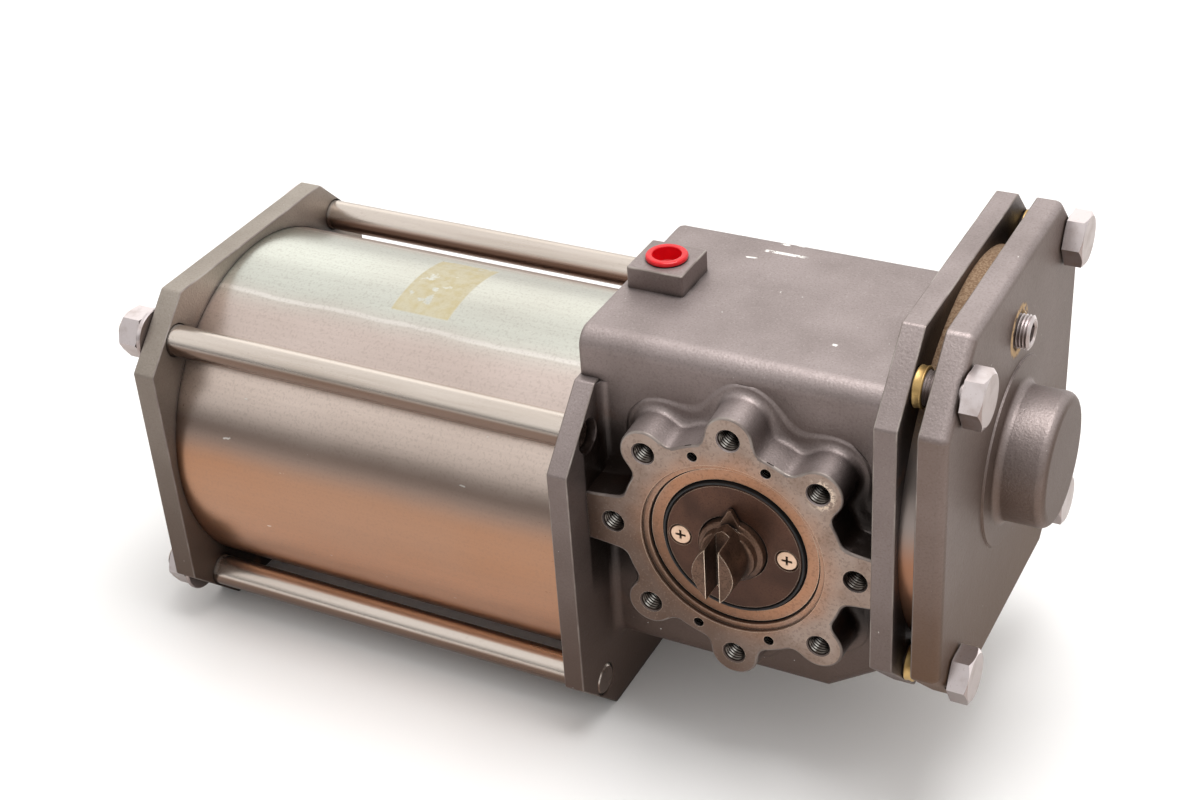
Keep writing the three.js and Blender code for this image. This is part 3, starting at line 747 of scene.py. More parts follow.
def lens(half_width, half_height, along, count=64):
    """The shaft head's outline: an upright rhombus whose side corners are rounded."""
    ring = []
    for step in range(count):
        angle = 2 * math.pi * step / count
        across = abs(math.cos(angle)) ** 1.5 * half_width * math.copysign(1, math.cos(angle))
        up = abs(math.sin(angle)) ** 1.15 * half_height * math.copysign(1, math.sin(angle))
        ring.append(place("y", across, up + SHAFT_Z, along))
    return ring


def shaft():
    """The CAD shaft's middle with its pinion, and finer ends: a hub, a nub, a slotted dog and a socket."""
    front, back = low_corner("output_shaft").y, high_corner("output_shaft").y
    piece = cad_copy("shaft_and_pinion", "output_shaft")
    for side in (-1, 1):
        near, far = sorted((side * SHAFT_CUT, side * 2 * SHAFT_CUT))
        cut(piece, block("end", (-40, near, SHAFT_Z - 45), (40, far, SHAFT_Z + 45)))
    start, bearing, hub, neck, step = SHAFT_CUT - 1, 19.9, 17, 14, 70
    front_end = [(0, start), (bearing, start), (bearing, step), (hub, step), (hub, HUB_END - 0.8)]
    front_end += [(hub - 0.8, HUB_END), (neck + 0.6, HUB_END), (neck, HUB_END + 0.6)]
    front_end += [(neck, HUB_END + 3.4), (neck - 0.6, HUB_END + 4), (0, HUB_END + 4)]
    back_end = [(0, start), (20, start), (20, back - 1.2), (18.8, back), (0, back)]
    nub = [(x, SHAFT_Z + z) for x, z in ((-7, 12), (7, 12), (0.9, 23.6), (-0.9, 23.6))]
    head = [(-HUB_END - 2, 11.2, 17.6), (front + 0.9, 10.8, 17.2)]
    head += [(front + 0.25, 10.5, 16.9), (front, 10.0, 16.4)]
    join(
        piece,
        turned_across("hub", front_end, 96, -1),
        turned_across("journal", back_end, 96),
        prism("pointer", "y", nub, 0.8, -HUB_END, -HUB_END + 3),
        loft("head", [lens(width, height, along) for along, width, height in head]),
    )
    slot, socket = 3.5, 11
    return cut(
        piece,
        block("slot", (-slot, front - 1, SHAFT_Z - 22), (slot, -91, SHAFT_Z + 22)),
        block("socket", (-socket, 41, SHAFT_Z - socket), (socket, back + 1, SHAFT_Z + socket)),
    )


def retaining_plate(end, side, hole):
    """A disc round the shaft, with two countersunk screw holes."""
    near, far, rim, sunk = RETAINER_NEAR, RETAINER_FAR, RETAINER_RADIUS, SCREW_SHANK + 0.4
    profile = [(hole, near), (rim, near), (rim, far - 0.6), (rim - 0.6, far)]
    profile += [(hole + 0.5, far), (hole, far - 0.5)]
    sink = [(0, near - 1), (sunk, near - 1), (sunk, near + 0.6)]
    sink += [(SCREW_HEAD + 1.4, far + 0.5), (0, far + 0.5)]
    screws = [centre(f"plate_screw_{end}_{hand}").x for hand in (1, 2)]
    tools = [turned_across("sink", sink, 32, side, x) for x in screws]
    return cut(turned_across(f"plate_disc_{end}", profile, 96, side), *tools)


def plate_screw(end, side, hand):
    """A countersunk screw with a tapered cross recess."""
    x = centre(f"plate_screw_{end}_{hand}").x
    tip, top, shank, head = SHAFT_CUT, RETAINER_FAR, SCREW_SHANK, SCREW_HEAD
    profile = [(0, tip), (1.8, tip)] + thread(shank, shank - 0.4, tip + 0.8, RETAINER_NEAR, 0.9)
    profile += [(shank, RETAINER_NEAR + 0.6), (head, top - 0.5)]
    profile += [(head - 0.3, top - 0.1), (head - 1.4, top), (0, top)]
    tools = []
    for across, up in ((2.9, 0.62), (0.62, 2.9)):
        rings = []
        for share, along in ((1.0, top + 0.2), (0.45, top - 1.9)):
            width, height = max(across * share, 0.5), max(up * share, 0.5)
            rings.append([place("y", x + i * width, SHAFT_Z + j * height, side * along) for i, j in SQUARE])
        tools.append(loft("phillips", rings))
    return cut(turned_across(f"plate_screw_{end}_head_{hand}", profile, 40, side, x), *tools)


def plate_ring(end, side):
    inner, outer, near, far = RETAINER_RADIUS + GAP, BORE_RADIUS - GAP, 77, 79.8
    half = (outer - inner) / 2
    profile = [(inner, near), (outer, near)] + arc((inner + half, far - half), half, 0, 180, 6)
    return turned_across(f"plate_ring_band_{end}", profile, 96, side)


# ---- springs ----


def coil(name, node, turns, wire):
    """A compression spring whose end turns close up against their neighbours."""
    start, end = ends(node)
    radius, rise, closing = half_width(node) - wire, end - start - 2 * wire, 0.0162
    steps, sides = abs(turns) * 40, 14
    section = [2 * math.pi * side / sides for side in range(sides)]
    lengthwise = Vector((1, 0, 0))
    rings = []
    for step in range(steps + 1):
        share = step / steps
        angle = 2 * math.pi * turns * share
        along = start + wire + rise * (share + closing * math.sin(4 * math.pi * share - math.pi))
        outward = Vector((0, math.cos(angle), math.sin(angle)))
        core = Vector((along, 0, CYLINDER_Z)) + outward * radius
        round_core = [outward * math.cos(turn) + lengthwise * math.sin(turn) for turn in section]
        rings.append([core + direction * wire for direction in round_core])
    return loft(name, rings)


# ---- materials ----


def linear(colour):
    """A screen colour, red, green and blue from 0 to 255, as the linear colour that a shader takes."""
    shares = [value / 255 for value in colour]
    return (*(x / 12.92 if x <= 0.04045 else ((x + 0.055) / 1.055) ** 2.4 for x in shares), 1.0)


# The warm brown below is painted shade on flanks, low parts and the cover boss's end. The near black after
# it is painted shade in corners, thread roots and deep in holes, and grime as well in the castings' tight
# corners.
SHADE_BROWN = (74, 54, 42)
GRIME_AND_SHADE_BLACK = (30, 22, 19)
RUST = (140, 86, 52)
SAND = (196, 164, 124)
PAINT = (240, 238, 233)
CAST_LIGHT, CAST_DARK = (166, 154, 152), (122, 111, 107)

# Strokes of spilt paint on the housing's roof: start, end and width.
PAINT_MARKS = (
    ((-33, 43.4), (-10, 43.6), 1.5),
    ((-28, 53), (-24, 53.4), 1.8),
    ((-20, 55), (-17, 55), 1.4),
    ((-41, 33.8), (-34, 34.8), 0.8),
    ((31, -29), (33, -29.4), 1.2),
)

# Painted reflections on the tube, in bands: the angles from its top, in degrees, where a band starts and is
# full, and its colour.
TUBE_REFLECTION_BANDS = (
    (18, 32, (222, 206, 198)),
    (38, 54, (234, 217, 206)),
    (62, 72, (150, 132, 122)),
    (72, 84, (166, 124, 97)),
    (96, 114, (192, 140, 107)),
    (124, 142, (130, 94, 72)),
)
STICKER_X = -199


class Nodes:
    """The node tree of a material or a world."""

    def __init__(self, owner):
        owner.use_nodes = True
        self.tree = owner.node_tree

    def add(self, kind, settings=None, inputs=None, output=0):
        """Adds a node and gives back one of its outputs."""
        node = self.tree.nodes.new(kind)
        for name, value in (settings or {}).items():
            setattr(node, name, value)
        for key, value in (inputs or {}).items():
            self.feed(node.inputs[key], value)
        return node.outputs[output]

    def feed(self, socket, value):
        if isinstance(value, bpy.types.NodeSocket):
            self.tree.links.new(value, socket)
        else:
            socket.default_value = value


class Look(Nodes):
    """A material, built up in coats over a first colour."""

    def __init__(self, name, colour, roughness, metallic):
        self.material = bpy.data.materials.new(name)
        super().__init__(self.material)
        self.place = self.add("ShaderNodeTexCoord", output="Object")
        self.colour, self.roughness, self.metallic = linear(colour), roughness, metallic
        self.normal = None

    def noise(self, size, detail=3.0, stretch=(1, 1, 1), seed=0.0):
        """Noise from 0 to 1, with features about size millimetres across."""
        scale = [share / (size * MM) for share in stretch]
        scaled = self.add("ShaderNodeVectorMath", {"operation": "MULTIPLY"}, {0: self.place, 1: scale})
        settings = {"noise_dimensions": "4D"}
        inputs = {"Vector": scaled, "W": seed, "Scale": 1.0, "Detail": detail}
        return self.add("ShaderNodeTexNoise", settings, inputs)

    def between(self, value, low, high, strength=1.0):
        """0 at low, strength at high, smooth between them. Low may be the larger one."""
        inputs = {"Value": value, "From Min": low, "From Max": high, "To Max": strength}
        return self.add("ShaderNodeMapRange", {"interpolation_type": "SMOOTHSTEP"}, inputs)

    def math(self, operation, first, second=0.0):
        return self.add("ShaderNodeMath", {"operation": operation}, {0: first, 1: second})

    def times(self, first, *others):
        for other in others:
            first = self.math("MULTIPLY", first, other)
        return first

    def blend(self, share, first, second):
        return self.add("ShaderNodeMix", {"data_type": "FLOAT"}, {0: share, 2: first, 3: second})

    def patches(self, size, low, high, strength=1.0, detail=4.0, stretch=(1, 1, 1), seed=0.0):
        """Soft patches of about size millimetres. They cover more the lower low and high are."""
        return self.between(self.noise(size, detail, stretch, seed), low, high, strength)

    def at(self, axis):
        """The place's X, Y or Z in millimetres, measured like the shapes."""
        index = "XYZ".index(axis)
        metres = self.add("ShaderNodeSeparateXYZ", None, {0: self.place}, index)
        return self.math("SUBTRACT", self.math("DIVIDE", metres, MM), ORIGIN[index])

    def off(self, axis, middle_value):
        """How far the place lies from a middle value along an axis, in millimetres."""
        return self.math("ABSOLUTE", self.math("SUBTRACT", self.at(axis), middle_value))

    def away(self, point):
        """The distance from a point, in millimetres."""
        target = (Vector(point) + ORIGIN) * MM
        settings = {"operation": "DISTANCE"}
        metres = self.add("ShaderNodeVectorMath", settings, {0: self.place, 1: target}, "Value")
        return self.math("DIVIDE", metres, MM)

    def stroke(self, start, end, width):
        """1 along a straight brush stroke, seen from above, that thins out towards its end."""
        start, end = Vector(start), Vector(end)
        along = (end - start).normalized()
        across, back = (self.math("SUBTRACT", self.at(axis), value) for axis, value in zip("XY", start))
        reach = self.math("ADD", self.times(across, along.x), self.times(back, along.y))
        aside = self.math("SUBTRACT", self.times(back, along.x), self.times(across, along.y))
        length = (end - start).length
        inside = self.between(reach, -width, 0, self.between(reach, length, length * 0.7))
        return self.between(self.math("ABSOLUTE", aside), width, width * 0.5, inside)

    def facing(self, axis):
        """1 on faces that look along an axis, 0 on faces across it and -1 on those that look back."""
        normal = self.add("ShaderNodeNewGeometry", output="Normal")
        return self.add("ShaderNodeSeparateXYZ", None, {0: normal}, axis)

    def open_air(self, distance):
        """1 on open faces, falling to 0 in corners within distance millimetres."""
        settings = {"samples": 8}
        return self.add("ShaderNodeAmbientOcclusion", settings, {"Distance": distance * MM}, "AO")

    def coat(self, share, colour, roughness=None, metallic=None):
        """Lays a colour, and what else is given, over the look where share is 1."""
        inputs = {0: share, 6: self.colour, 7: linear(colour)}
        self.colour = self.add("ShaderNodeMix", {"data_type": "RGBA"}, inputs, 2)
        if roughness is not None:
            self.roughness = self.blend(share, self.roughness, roughness)
        if metallic is not None:
            self.metallic = self.blend(share, self.metallic, metallic)

    def bump(self, height, depth):
        inputs = {"Distance": depth * MM, "Height": height}
        if self.normal:
            inputs["Normal"] = self.normal
        self.normal = self.add("ShaderNodeBump", None, inputs)

    def finish(self):
        values = {"Base Color": self.colour, "Roughness": self.roughness, "Metallic": self.metallic}
        if self.normal:
            values["Normal"] = self.normal
        for key, value in values.items():
            self.feed(self.tree.nodes["Principled BSDF"].inputs[key], value)
        return self.material


def shade_and_grime(look, flank=0.47, low=0.9):
    """Painted shade: warm brown on flanks and low parts, with a duller oily finish low down, and near black
    deep in recesses, where rust also gathers; grime with painted shade in tight corners.
    """
    # Painted shade: faces that don't look up, and parts low down, turn warm brown.
    look.coat(look.between(look.facing("Z"), 0.8, -0.2, flank), SHADE_BROWN)
    look.coat(look.between(look.at("Z"), 220, 10, low), SHADE_BROWN, 0.6, 0.5)
    # Painted shade: deep recesses go near black. Rust gathers there too.
    hollow = look.between(look.open_air(38), 0.6, 0.22)
    look.coat(look.times(hollow, 0.92), (34, 26, 23))
    look.coat(look.times(hollow, look.patches(19, 0.55, 0.7, 0.4, 6, seed=11)), RUST)
    # Grime with painted shade darkens tight corners in patches.
    grime_and_shade = look.blend(look.patches(10, 0.3, 0.62, seed=7), 0.4, 1.0)
    look.coat(look.between(look.open_air(6), 0.85, 0.4, grime_and_shade), GRIME_AND_SHADE_BLACK, 0.55, 0.2)


def casting(name, light, dark, grain=0.16):
    """Bead-blasted stainless: fine grain, soft blotches and a few pale specks."""
    look = Look(name, light, 0.5, 0.85)
    look.coat(look.patches(38, 0.3, 0.72, 0.5), dark)
    look.coat(look.patches(1.1, 0.48, 0.68, 0.3, 2, seed=3), dark, 0.58)
    look.coat(look.patches(1.0, 0.56, 0.7, 0.2, 2, seed=9), (204, 194, 190))
    # Painted shade and grime, then paint specks.
    shade_and_grime(look)
    look.coat(look.patches(2.4, 0.75, 0.78, 0.8, 2, seed=13), PAINT, 0.6, 0.2)
    look.bump(look.noise(1.1, 2), grain)
    look.bump(look.noise(7, 3, seed=5), 0.12)
    return look


def housing_look():
    """The casting, with dark oil and painted shade in the pockets round its arms and some spilt paint on
    top.
    """
    look = casting("housing_stainless", CAST_LIGHT, CAST_DARK)
    # Dark oil with painted shade round the arms on both sides of the boss.
    oil_and_shade_pocket = look.times(
        look.between(look.off("X", 0), 46, 56),
        look.between(look.off("Y", 0), FACE_Y + 1, FACE_Y - 1),
        look.between(look.off("Z", SHAFT_Z), 54, 34),
    )
    look.coat(look.times(oil_and_shade_pocket, look.patches(9, 0.2, 0.45, 0.95)), (32, 22, 17), 0.32, 0.5)
    roof = look.between(look.off("Z", BODY_ROOF), 3, 2)
    for start, end, width in PAINT_MARKS:
        mark = look.times(look.stroke(start, end, width), roof, look.patches(2.4, 0.36, 0.46))
        look.coat(mark, PAINT, 0.6, 0.0)
    return look.finish()


def cover_look():
    """The casting, with painted shade: browner towards its foot on faces that don't look up, darker on
    faces that look along X and on the boss's end; with a sandy crust round its plug.
    """
    look = casting("cover_stainless", CAST_LIGHT, CAST_DARK)
    # Painted shade: faces that don't look up turn browner, more so low down.
    height = look.blend(look.between(look.at("Z"), 190, 70), 0.3, 0.8)
    look.coat(look.between(look.facing("Z"), 0.8, 0, height), (92, 62, 34))
    # Painted shade: faces that look along X, and the boss's end, darker.
    look.coat(look.between(look.facing("X"), 0.8, 1, 0.36), (60, 44, 30))
    look.coat(look.between(look.at("X"), BOSS_END - 2, BOSS_END - 0.5, 0.45), SHADE_BROWN)
    plug = centre("cover_plug")
    ring = look.away((COVER_OUTER, plug.y, plug.z))
    crust = look.between(ring, 14, 11.5, look.patches(3, 0.36, 0.5))
    look.coat(crust, SAND, 0.9, 0.1)
    look.bump(look.times(crust, look.noise(1.1, 3)), 0.6)
    return look.finish()


def edge_look():
    """The rims of plates and lugs, rubbed and with a painted highlight, brighter than the faces beside
    them.
    """
    look = Look("worn_and_highlit_edge", (138, 127, 122), 0.5, 0.88)
    # Worn patches with a painted highlight, lighter than the rest of the rim.
    look.coat(look.patches(16, 0.4, 0.7, 0.8, detail=5), (186, 178, 171), 0.38)
    shade_and_grime(look, 0.3, 0.5)
    look.bump(look.noise(1.2, 3), 0.08)
    return look.finish()


def worn_and_glinting_edges(look, width):
    """1 on sharp edges that stand proud: where a coating rubs through, and where a painted highlight
    catches them.
    """
    rounded_normal = look.add("ShaderNodeBevel", {"samples": 6}, {"Radius": width * MM})
    inputs = {0: rounded_normal, 1: look.add("ShaderNodeNewGeometry", output="Normal")}
    turn = look.add("ShaderNodeVectorMath", {"operation": "DOT_PRODUCT"}, inputs, "Value")
    return look.between(turn, 0.985, 0.9, look.between(look.open_air(2), 0.45, 0.62))


def machined_look():
    """The turned mounting faces: painted shade makes them browner down and to the left and darkens their
    corners, rust tinges them round the shaft, and painted highlights run along their edges.
    """
    look = Look("machined_face", (158, 140, 129), 0.45, 0.8)
    look.coat(look.patches(12, 0.36, 0.68, detail=5), (140, 120, 108))
    across, up = look.off("X", 0), look.off("Z", SHAFT_Z)
    reach = look.math("SQRT", look.math("ADD", look.times(across, across), look.times(up, up)))
    ragged = look.math("ADD", reach, look.times(look.noise(26, 5), 22))
    look.coat(look.between(ragged, 68, 50, 0.8), (176, 124, 90))
    # Painted shade: darker brown down and to the left.
    slope = look.math("ADD", look.at("Z"), look.at("X"))
    look.coat(look.between(slope, SHAFT_Z + 10, SHAFT_Z - 80, 0.8), (76, 56, 45))
    look.coat(look.patches(1.3, 0.5, 0.66, 0.35, 3, seed=6), (96, 74, 60))
    look.coat(look.patches(1.1, 0.56, 0.7, 0.1, 2, seed=16), (206, 184, 168))
    lug_x, lug_z = LUG_AXES[1]
    rim = look.between(look.away((lug_x, -FACE_Y, lug_z)), 10, 6.8)
    crust = look.between(look.at("X"), lug_x - 7, lug_x + 3, look.patches(1.8, 0.46, 0.56, seed=5))
    look.coat(look.times(rim, crust), (232, 212, 192), 0.9, 0.1)
    # Painted shade in corners.
    look.coat(look.between(look.open_air(3.5), 0.75, 0.4), GRIME_AND_SHADE_BLACK, 0.7, 0.2)
    # Painted highlights along the edges.
    look.coat(look.times(worn_and_glinting_edges(look, 0.5), 0.7), (236, 212, 190), 0.3, 0.9)
    look.bump(look.noise(1.1, 2), 0.08)
    return look.finish()


def thread_look():
    """Oily cut threads with a painted glint down the hole, and painted shade that blackens their roots and
    the deep part of the hole.
    """
    look = Look("cut_thread", (104, 98, 92), 0.2, 0.95)
    lean = look.math("ADD", look.times(look.facing("X"), 0.64), look.times(look.facing("Z"), 0.77))
    # Painted highlight: a glint on the flanks that lean one way.
    look.coat(look.between(lean, 0.67, 0.76), (236, 233, 226), 0.26)
    depth = look.math("SUBTRACT", FACE_Y - THREAD_START, look.off("Y", 0))
    wave = look.math("COSINE", look.times(depth, 2 * math.pi / THREAD_PITCH))
    # Painted shade in the thread roots, and deep in the hole.
    look.coat(look.between(wave, -0.4, 0.5), GRIME_AND_SHADE_BLACK, 0.5)
    look.coat(look.between(depth, 5, 16), GRIME_AND_SHADE_BLACK)
    look.coat(look.patches(2.5, 0.45, 0.65, 0.5), (70, 58, 50), 0.3)
    return look.finish()


def around(look, centre_z):
    """The angle round a lengthwise axis from its top, in degrees, the same on both sides."""
    up = look.math("SUBTRACT", look.at("Z"), centre_z)
    return look.math("DEGREES", look.math("ARCTAN2", look.off("Y", 0), up))


def tube_look():
    """Satin stainless tube, polished lengthwise, with painted reflections in bands round it, tan below, a
    painted highlight line and old glue on top.
    """
    look = Look("brushed_tube", (222, 224, 214), 0.3, 1.0)
    angle = look.math("ADD", around(look, CYLINDER_Z), look.times(look.noise(50, 2), 4))
    # Painted reflections, in bands round the tube.
    for start, full, tint in TUBE_REFLECTION_BANDS:
        look.coat(look.between(angle, start, full), tint)
    # Painted highlight: a thin broken bright line 24 degrees from the top.
    line = look.math("ABSOLUTE", look.math("SUBTRACT", angle, 24))
    broken = look.patches(60, 0.3, 0.5, 0.6, stretch=(0.4, 1, 1))
    look.coat(look.between(line, 1.3, 0.3, broken), (255, 250, 244))
    look.coat(look.patches(60, 0.35, 0.7, 0.2, 4, (0.5, 1, 1), 2), (160, 138, 124))
    look.coat(look.patches(1.4, 0.5, 0.66, 0.16, 2, seed=8), (128, 108, 96))
    look.coat(look.patches(1.6, 0.4, 0.6, 0.05, 2, (0.02, 1, 1), 4), (116, 98, 88))
    dirt = look.patches(1.6, 0.64, 0.7, 0.5, 3, seed=14)
    near_ends = look.between(look.off("X", (CAP_INNER - FLANGE_OUTER) / 2), 98, 112, dirt)
    look.coat(near_ends, (112, 78, 58), 0.45)
    look.coat(look.patches(3.2, 0.74, 0.77, 0.7, 2, (0.35, 1, 1), 17), PAINT)
    look.coat(sticker_residue(look), (176, 160, 112), 0.55, 0.35)
    look.bump(look.noise(0.5, 2, (0.012, 1, 1)), 0.0025)
    return look.finish()


def sticker_residue(look):
    """A torn rectangle of old glue across the tube's top."""
    thin = look.blend(look.patches(5, 0.35, 0.7, seed=31), 0.55, 0.8)
    torn = look.patches(11, 0.36, 0.42, thin, 5, seed=21)
    across = look.between(look.off("Y", 0), 28, 26.5, torn)
    lengthwise = look.between(look.off("X", STICKER_X), 18, 16.5, across)
    return look.between(look.at("Z"), 150, 155, lengthwise)


def metal_look(name, light, dark, roughness=0.35, stretch=(1, 1, 1), flank=0.0):
    """Bright worked metal for bars, nuts and inner parts, with painted brown shade on faces that don't look
    up, as much as flank asks, and painted shade in corners.
    """
    look = Look(name, light, roughness, 0.97)
    look.coat(look.patches(9, 0.45, 0.75, 0.7, stretch=stretch), dark, roughness + 0.06)
    look.coat(look.patches(1.2, 0.6, 0.7, 0.35, 3, seed=6), dark)
    # Painted shade: faces that don't look up turn brown.
    look.coat(look.between(look.facing("Z"), 0.45, 0.12, flank), (96, 70, 55))
    # Painted shade in corners.
    look.coat(look.between(look.open_air(5), 0.8, 0.35, 0.85), (60, 44, 34), 0.7, 0.4)
    look.bump(look.noise(0.9, 3, stretch), 0.02)
    return look.finish()


def dark_steel_look(name, light, dark, rubbed):
    """Blackened steel gone brown, grainy, and rubbed bright along its edges, with painted shade lower down
    and in corners.
    """
    look = Look(name, light, 0.38, 0.75)
    look.coat(look.patches(18, 0.35, 0.7), dark)
    look.coat(look.patches(0.9, 0.48, 0.66, 0.6, 3, seed=4), dark, 0.52)
    # Painted shade: darker towards the bottom.
    look.coat(look.between(look.at("Z"), SHAFT_Z + 30, SHAFT_Z - 40, 0.45), dark)
    look.coat(look.times(worn_and_glinting_edges(look, 0.7), rubbed), (255, 232, 208), 0.25, 0.95)
    # Painted shade in corners.
    look.coat(look.between(look.open_air(5), 0.75, 0.3), GRIME_AND_SHADE_BLACK, 0.6, 0.3)
    look.bump(look.noise(0.8, 3), 0.07)
    return look.finish()


def plastic_look(name, colour, worn, roughness):
    look = Look(name, colour, roughness, 0.0)
    look.coat(look.patches(6, 0.35, 0.7, 0.4, 3), worn)
    look.bump(look.noise(1.5, 2), 0.02)
    return look.finish()


def spacer_look():
    """The spacer's rim: sandy dirt on top, clean steel at mid height and a painted reflection, rosy brown,
    below.
    """
    look = Look("spacer_steel", (134, 124, 119), 0.3, 0.95)
    angle = around(look, COVER_Z)
    # Painted reflection: rosy brown below.
    look.coat(look.between(angle, 80, 96), (146, 104, 80))
    top = look.between(angle, 66, 44)
    look.coat(top, (128, 100, 76), 0.8, 0.3)
    look.coat(look.times(top, look.patches(1.1, 0.4, 0.62)), (158, 132, 106))
    look.bump(look.times(look.noise(1.0, 4), top), 0.2)
    return look.finish()


housing_steel = housing_look()
cover_steel = cover_look()
edge = edge_look()
machined = machined_look()
threaded = thread_look()
brushed = tube_look()
spacer = spacer_look()
plate_steel = casting("plate_stainless", (178, 169, 159), (141, 131, 121), 0.14).finish()
rod_steel = metal_look("ground_bar", (226, 215, 205), (190, 176, 163), 0.25, (0.05, 1, 1), 0.9)
bolt_steel = metal_look("bolt_stainless", (232, 222, 222), (190, 174, 168), 0.28, flank=0.68)
plate_oxide = dark_steel_look("plate_oxide_steel", (86, 58, 45), (62, 41, 32), 0.35)
shaft_oxide = dark_steel_look("shaft_oxide_steel", (112, 85, 69), (50, 35, 28), 1.0)
screw_steel = metal_look("screw_steel", (216, 184, 160), (178, 150, 126), 0.34)
yellow_zinc = metal_look("yellow_zinc", (200, 168, 112), (138, 106, 62), 0.42)
bronze = metal_look("sintered_bronze", (176, 132, 72), (128, 88, 46), 0.5)
spring_steel = metal_look("spring_wire", (96, 98, 104), (52, 54, 60), 0.4)
rubber = plastic_look("black_rubber", (18, 18, 20), (44, 40, 38), 0.6)
red_plastic = plastic_look("red_plastic", (212, 10, 24), (170, 6, 18), 0.25)

# ---- assembly ----


def add_housing():
    dress(housing(), "housing", "cast_steel", housing_steel, edge, machined, threaded)
    dress(port_cap(), "port_cap", "red_plastic", red_plastic)


def add_cylinder():
    dress(tube(), "cylinder_tube", "brushed_steel", brushed)
    dress(end_cap(), "end_cap", "machined_steel", plate_steel, edge)
    dress(breather(), "breather_plug", "bronze", bronze)
    for index in range(1, 5):
        dress(tie_rod(index), f"tie_rod_{index}", "rod_steel", rod_steel)
        dress(rod_washer(index), f"rod_washer_{index}", "bolt_steel", bolt_steel)
        dress(rod_nut(index), f"rod_nut_{index}", "bolt_steel", bolt_steel)


def add_springs():
    for name, node, turns, wire in (
        ("return_spring_coil", "return_spring", 8, 8),
        ("inner_spring_coil", "inner_spring", -8, 5.5),
    ):
        piece = dress(coil(name, node, turns, wire), node, "spring_steel", spring_steel)
        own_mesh(piece)


def add_shaft():
    dress(shaft(), "output_shaft", "dark_steel", shaft_oxide, body="output_shaft")
    for end, side, hole in (("front", -1, 17.4), ("back", 1, 20.4)):
        dress(retaining_plate(end, side, hole), f"retaining_plate_{end}", "dark_steel", plate_oxide)
        dress(plate_ring(end, side), f"plate_ring_{end}", "black_rubber", rubber)
        for hand in (1, 2):
            dress(plate_screw(end, side, hand), f"plate_screw_{end}_{hand}", "screw_steel", screw_steel)


def add_cover():
    dress(end_cover(), "end_cover", "cast_steel", cover_steel, edge)
    dress(spacer_ring(), "spacer_ring", "brushed_steel", spacer)
    dress(cover_plug(), "cover_plug", "bolt_steel", bolt_steel)
    for index in range(1, 5):
        dress(cover_bolt(index), f"cover_bolt_{index}", "bolt_steel", bolt_steel)
        dress(bolt_collar(index), f"bolt_collar_{index}", "yellow_zinc", yellow_zinc)


INNER_NODES = (
    (rubber, ("tube_gasket_left", "tube_gasket_right", "cover_gasket_left", "cover_gasket_right")),
    (rubber, ("piston_seal", "shaft_seal_front", "shaft_seal_back")),
    (bronze, ("piston_wear_ring", "rack_liner_lower", "rack_liner_upper", "rod_bush")),
    (bronze, ("shaft_bush_front", "shaft_bush_back")),
    (machined, ("piston", "bearing_carrier_front", "bearing_carrier_back")),
    (rod_steel, ("drive_rack", "idle_rack")),
    (plate_oxide, ("spring_seat",)),
    (bolt_steel, ("piston_nut",)),
)


def dress_inner_node(node, look):
    """A CAD piece that stays gets its material and clean shading."""
    node.data.materials.clear()
    node.data.materials.append(look)
    weld = node.modifiers.new("weld", "WELD")
    weld.merge_threshold = 1e-6
    bevel = node.modifiers.new("broken_edges", "BEVEL")
    bevel.width = 0.2 * MM
    bevel.segments = 2
    bevel.limit_method = "ANGLE"
    bevel.angle_limit = math.radians(50)


# ---- studio ----

# The camera stands in front and to the right, above the actuator. Its place is in metres.
CAMERA_PLACE = (0.43136, -0.77469, 0.71216)
CAMERA_RIGHT = (0.89012, 0.45187, -0.05906)
CAMERA_UP = (-0.20028, 0.50433, 0.84009)
CAMERA_LENS = 60.49


def camera():
    data = bpy.data.cameras.new("camera")
    data.lens = CAMERA_LENS
    data.clip_start = 0.01
    right, up = Vector(CAMERA_RIGHT), Vector(CAMERA_UP)
    turn = Matrix((right, up, right.cross(up))).transposed().to_4x4()
    view = shown("camera", data)
    view.matrix_world = Matrix.Translation(CAMERA_PLACE) @ turn
    bpy.context.scene.camera = view


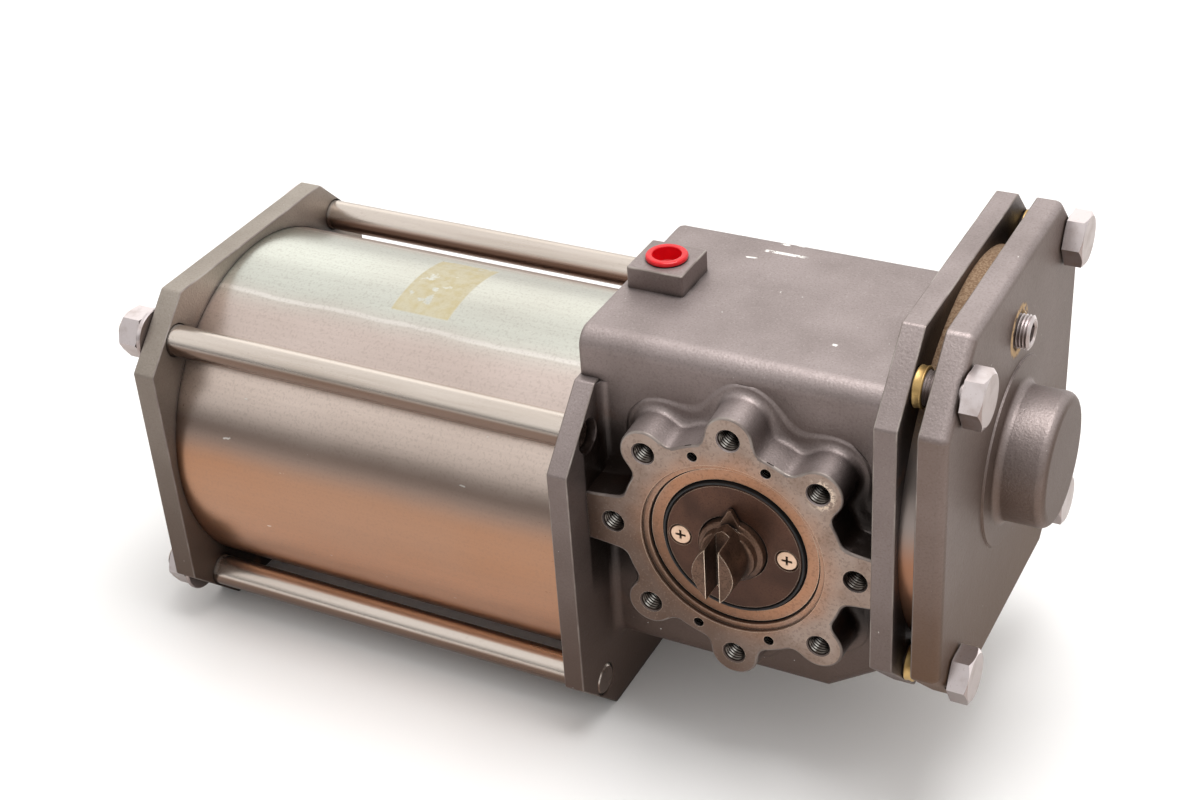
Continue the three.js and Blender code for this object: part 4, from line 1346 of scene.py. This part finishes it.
def area_light(name, location, target, size, power, colour=(1, 1, 1)):
    data = bpy.data.lights.new(name, "AREA")
    data.shape = "RECTANGLE"
    data.size, data.size_y = size
    data.energy = power
    data.color = colour
    lamp = shown(name, data)
    lamp.location = location
    lamp.rotation_euler = (Vector(target) - Vector(location)).to_track_quat("-Z", "Y").to_euler()


def sky(horizon, back, overhead):
    """A soft white dome, bright overhead and at the back, and dim at the horizon elsewhere."""
    world = bpy.data.worlds.new("studio")
    nodes = Nodes(world)
    direction = nodes.add("ShaderNodeTexCoord", output="Generated")
    away, up = (nodes.add("ShaderNodeSeparateXYZ", None, {0: direction}, axis) for axis in "YZ")
    inputs = {"Value": away, "From Min": -0.1, "From Max": 0.6, "To Min": horizon, "To Max": back}
    low = nodes.add("ShaderNodeMapRange", None, inputs)
    inputs = {"Value": up, "From Min": 0.0, "From Max": 0.5, "To Min": low, "To Max": overhead}
    strength = nodes.add("ShaderNodeMapRange", {"interpolation_type": "SMOOTHSTEP"}, inputs)
    background = nodes.tree.nodes["Background"].inputs
    nodes.feed(background["Strength"], strength)
    nodes.feed(background["Color"], (1.0, 0.985, 0.97, 1))
    bpy.context.scene.world = world


def studio():
    size = 6
    mesh = bpy.data.meshes.new("floor")
    mesh.from_pydata([(x * size, y * size, 0) for x, y in SQUARE], [], [range(4)])
    floor = shown("floor", mesh)
    floor.data.materials.append(Look("floor_paper", (246, 245, 244), 0.85, 0.0).finish())
    sky(0.13, 0.7, 0.9)
    bpy.context.scene.view_settings.view_transform = "Standard"
    area_light("key", (0.28, 0.1, 1.9), (0.05, 0, 0.1), (1.1, 0.9), 23)
    area_light("back_card", (-0.9, 2.0, 1.25), (0, 0, 0.15), (2.4, 1.2), 4, (1.0, 1.0, 0.95))
    area_light("right_rim", (1.7, 0.2, 0.9), (0.1, 0, 0.15), (0.8, 1.0), 1.5, (1.0, 0.94, 0.9))


add_housing()
add_cylinder()
add_springs()
add_shaft()
add_cover()
for look, names in INNER_NODES:
    for name in names:
        dress_inner_node(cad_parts[name], look)
camera()
studio()

bpy.context.view_layer.update()
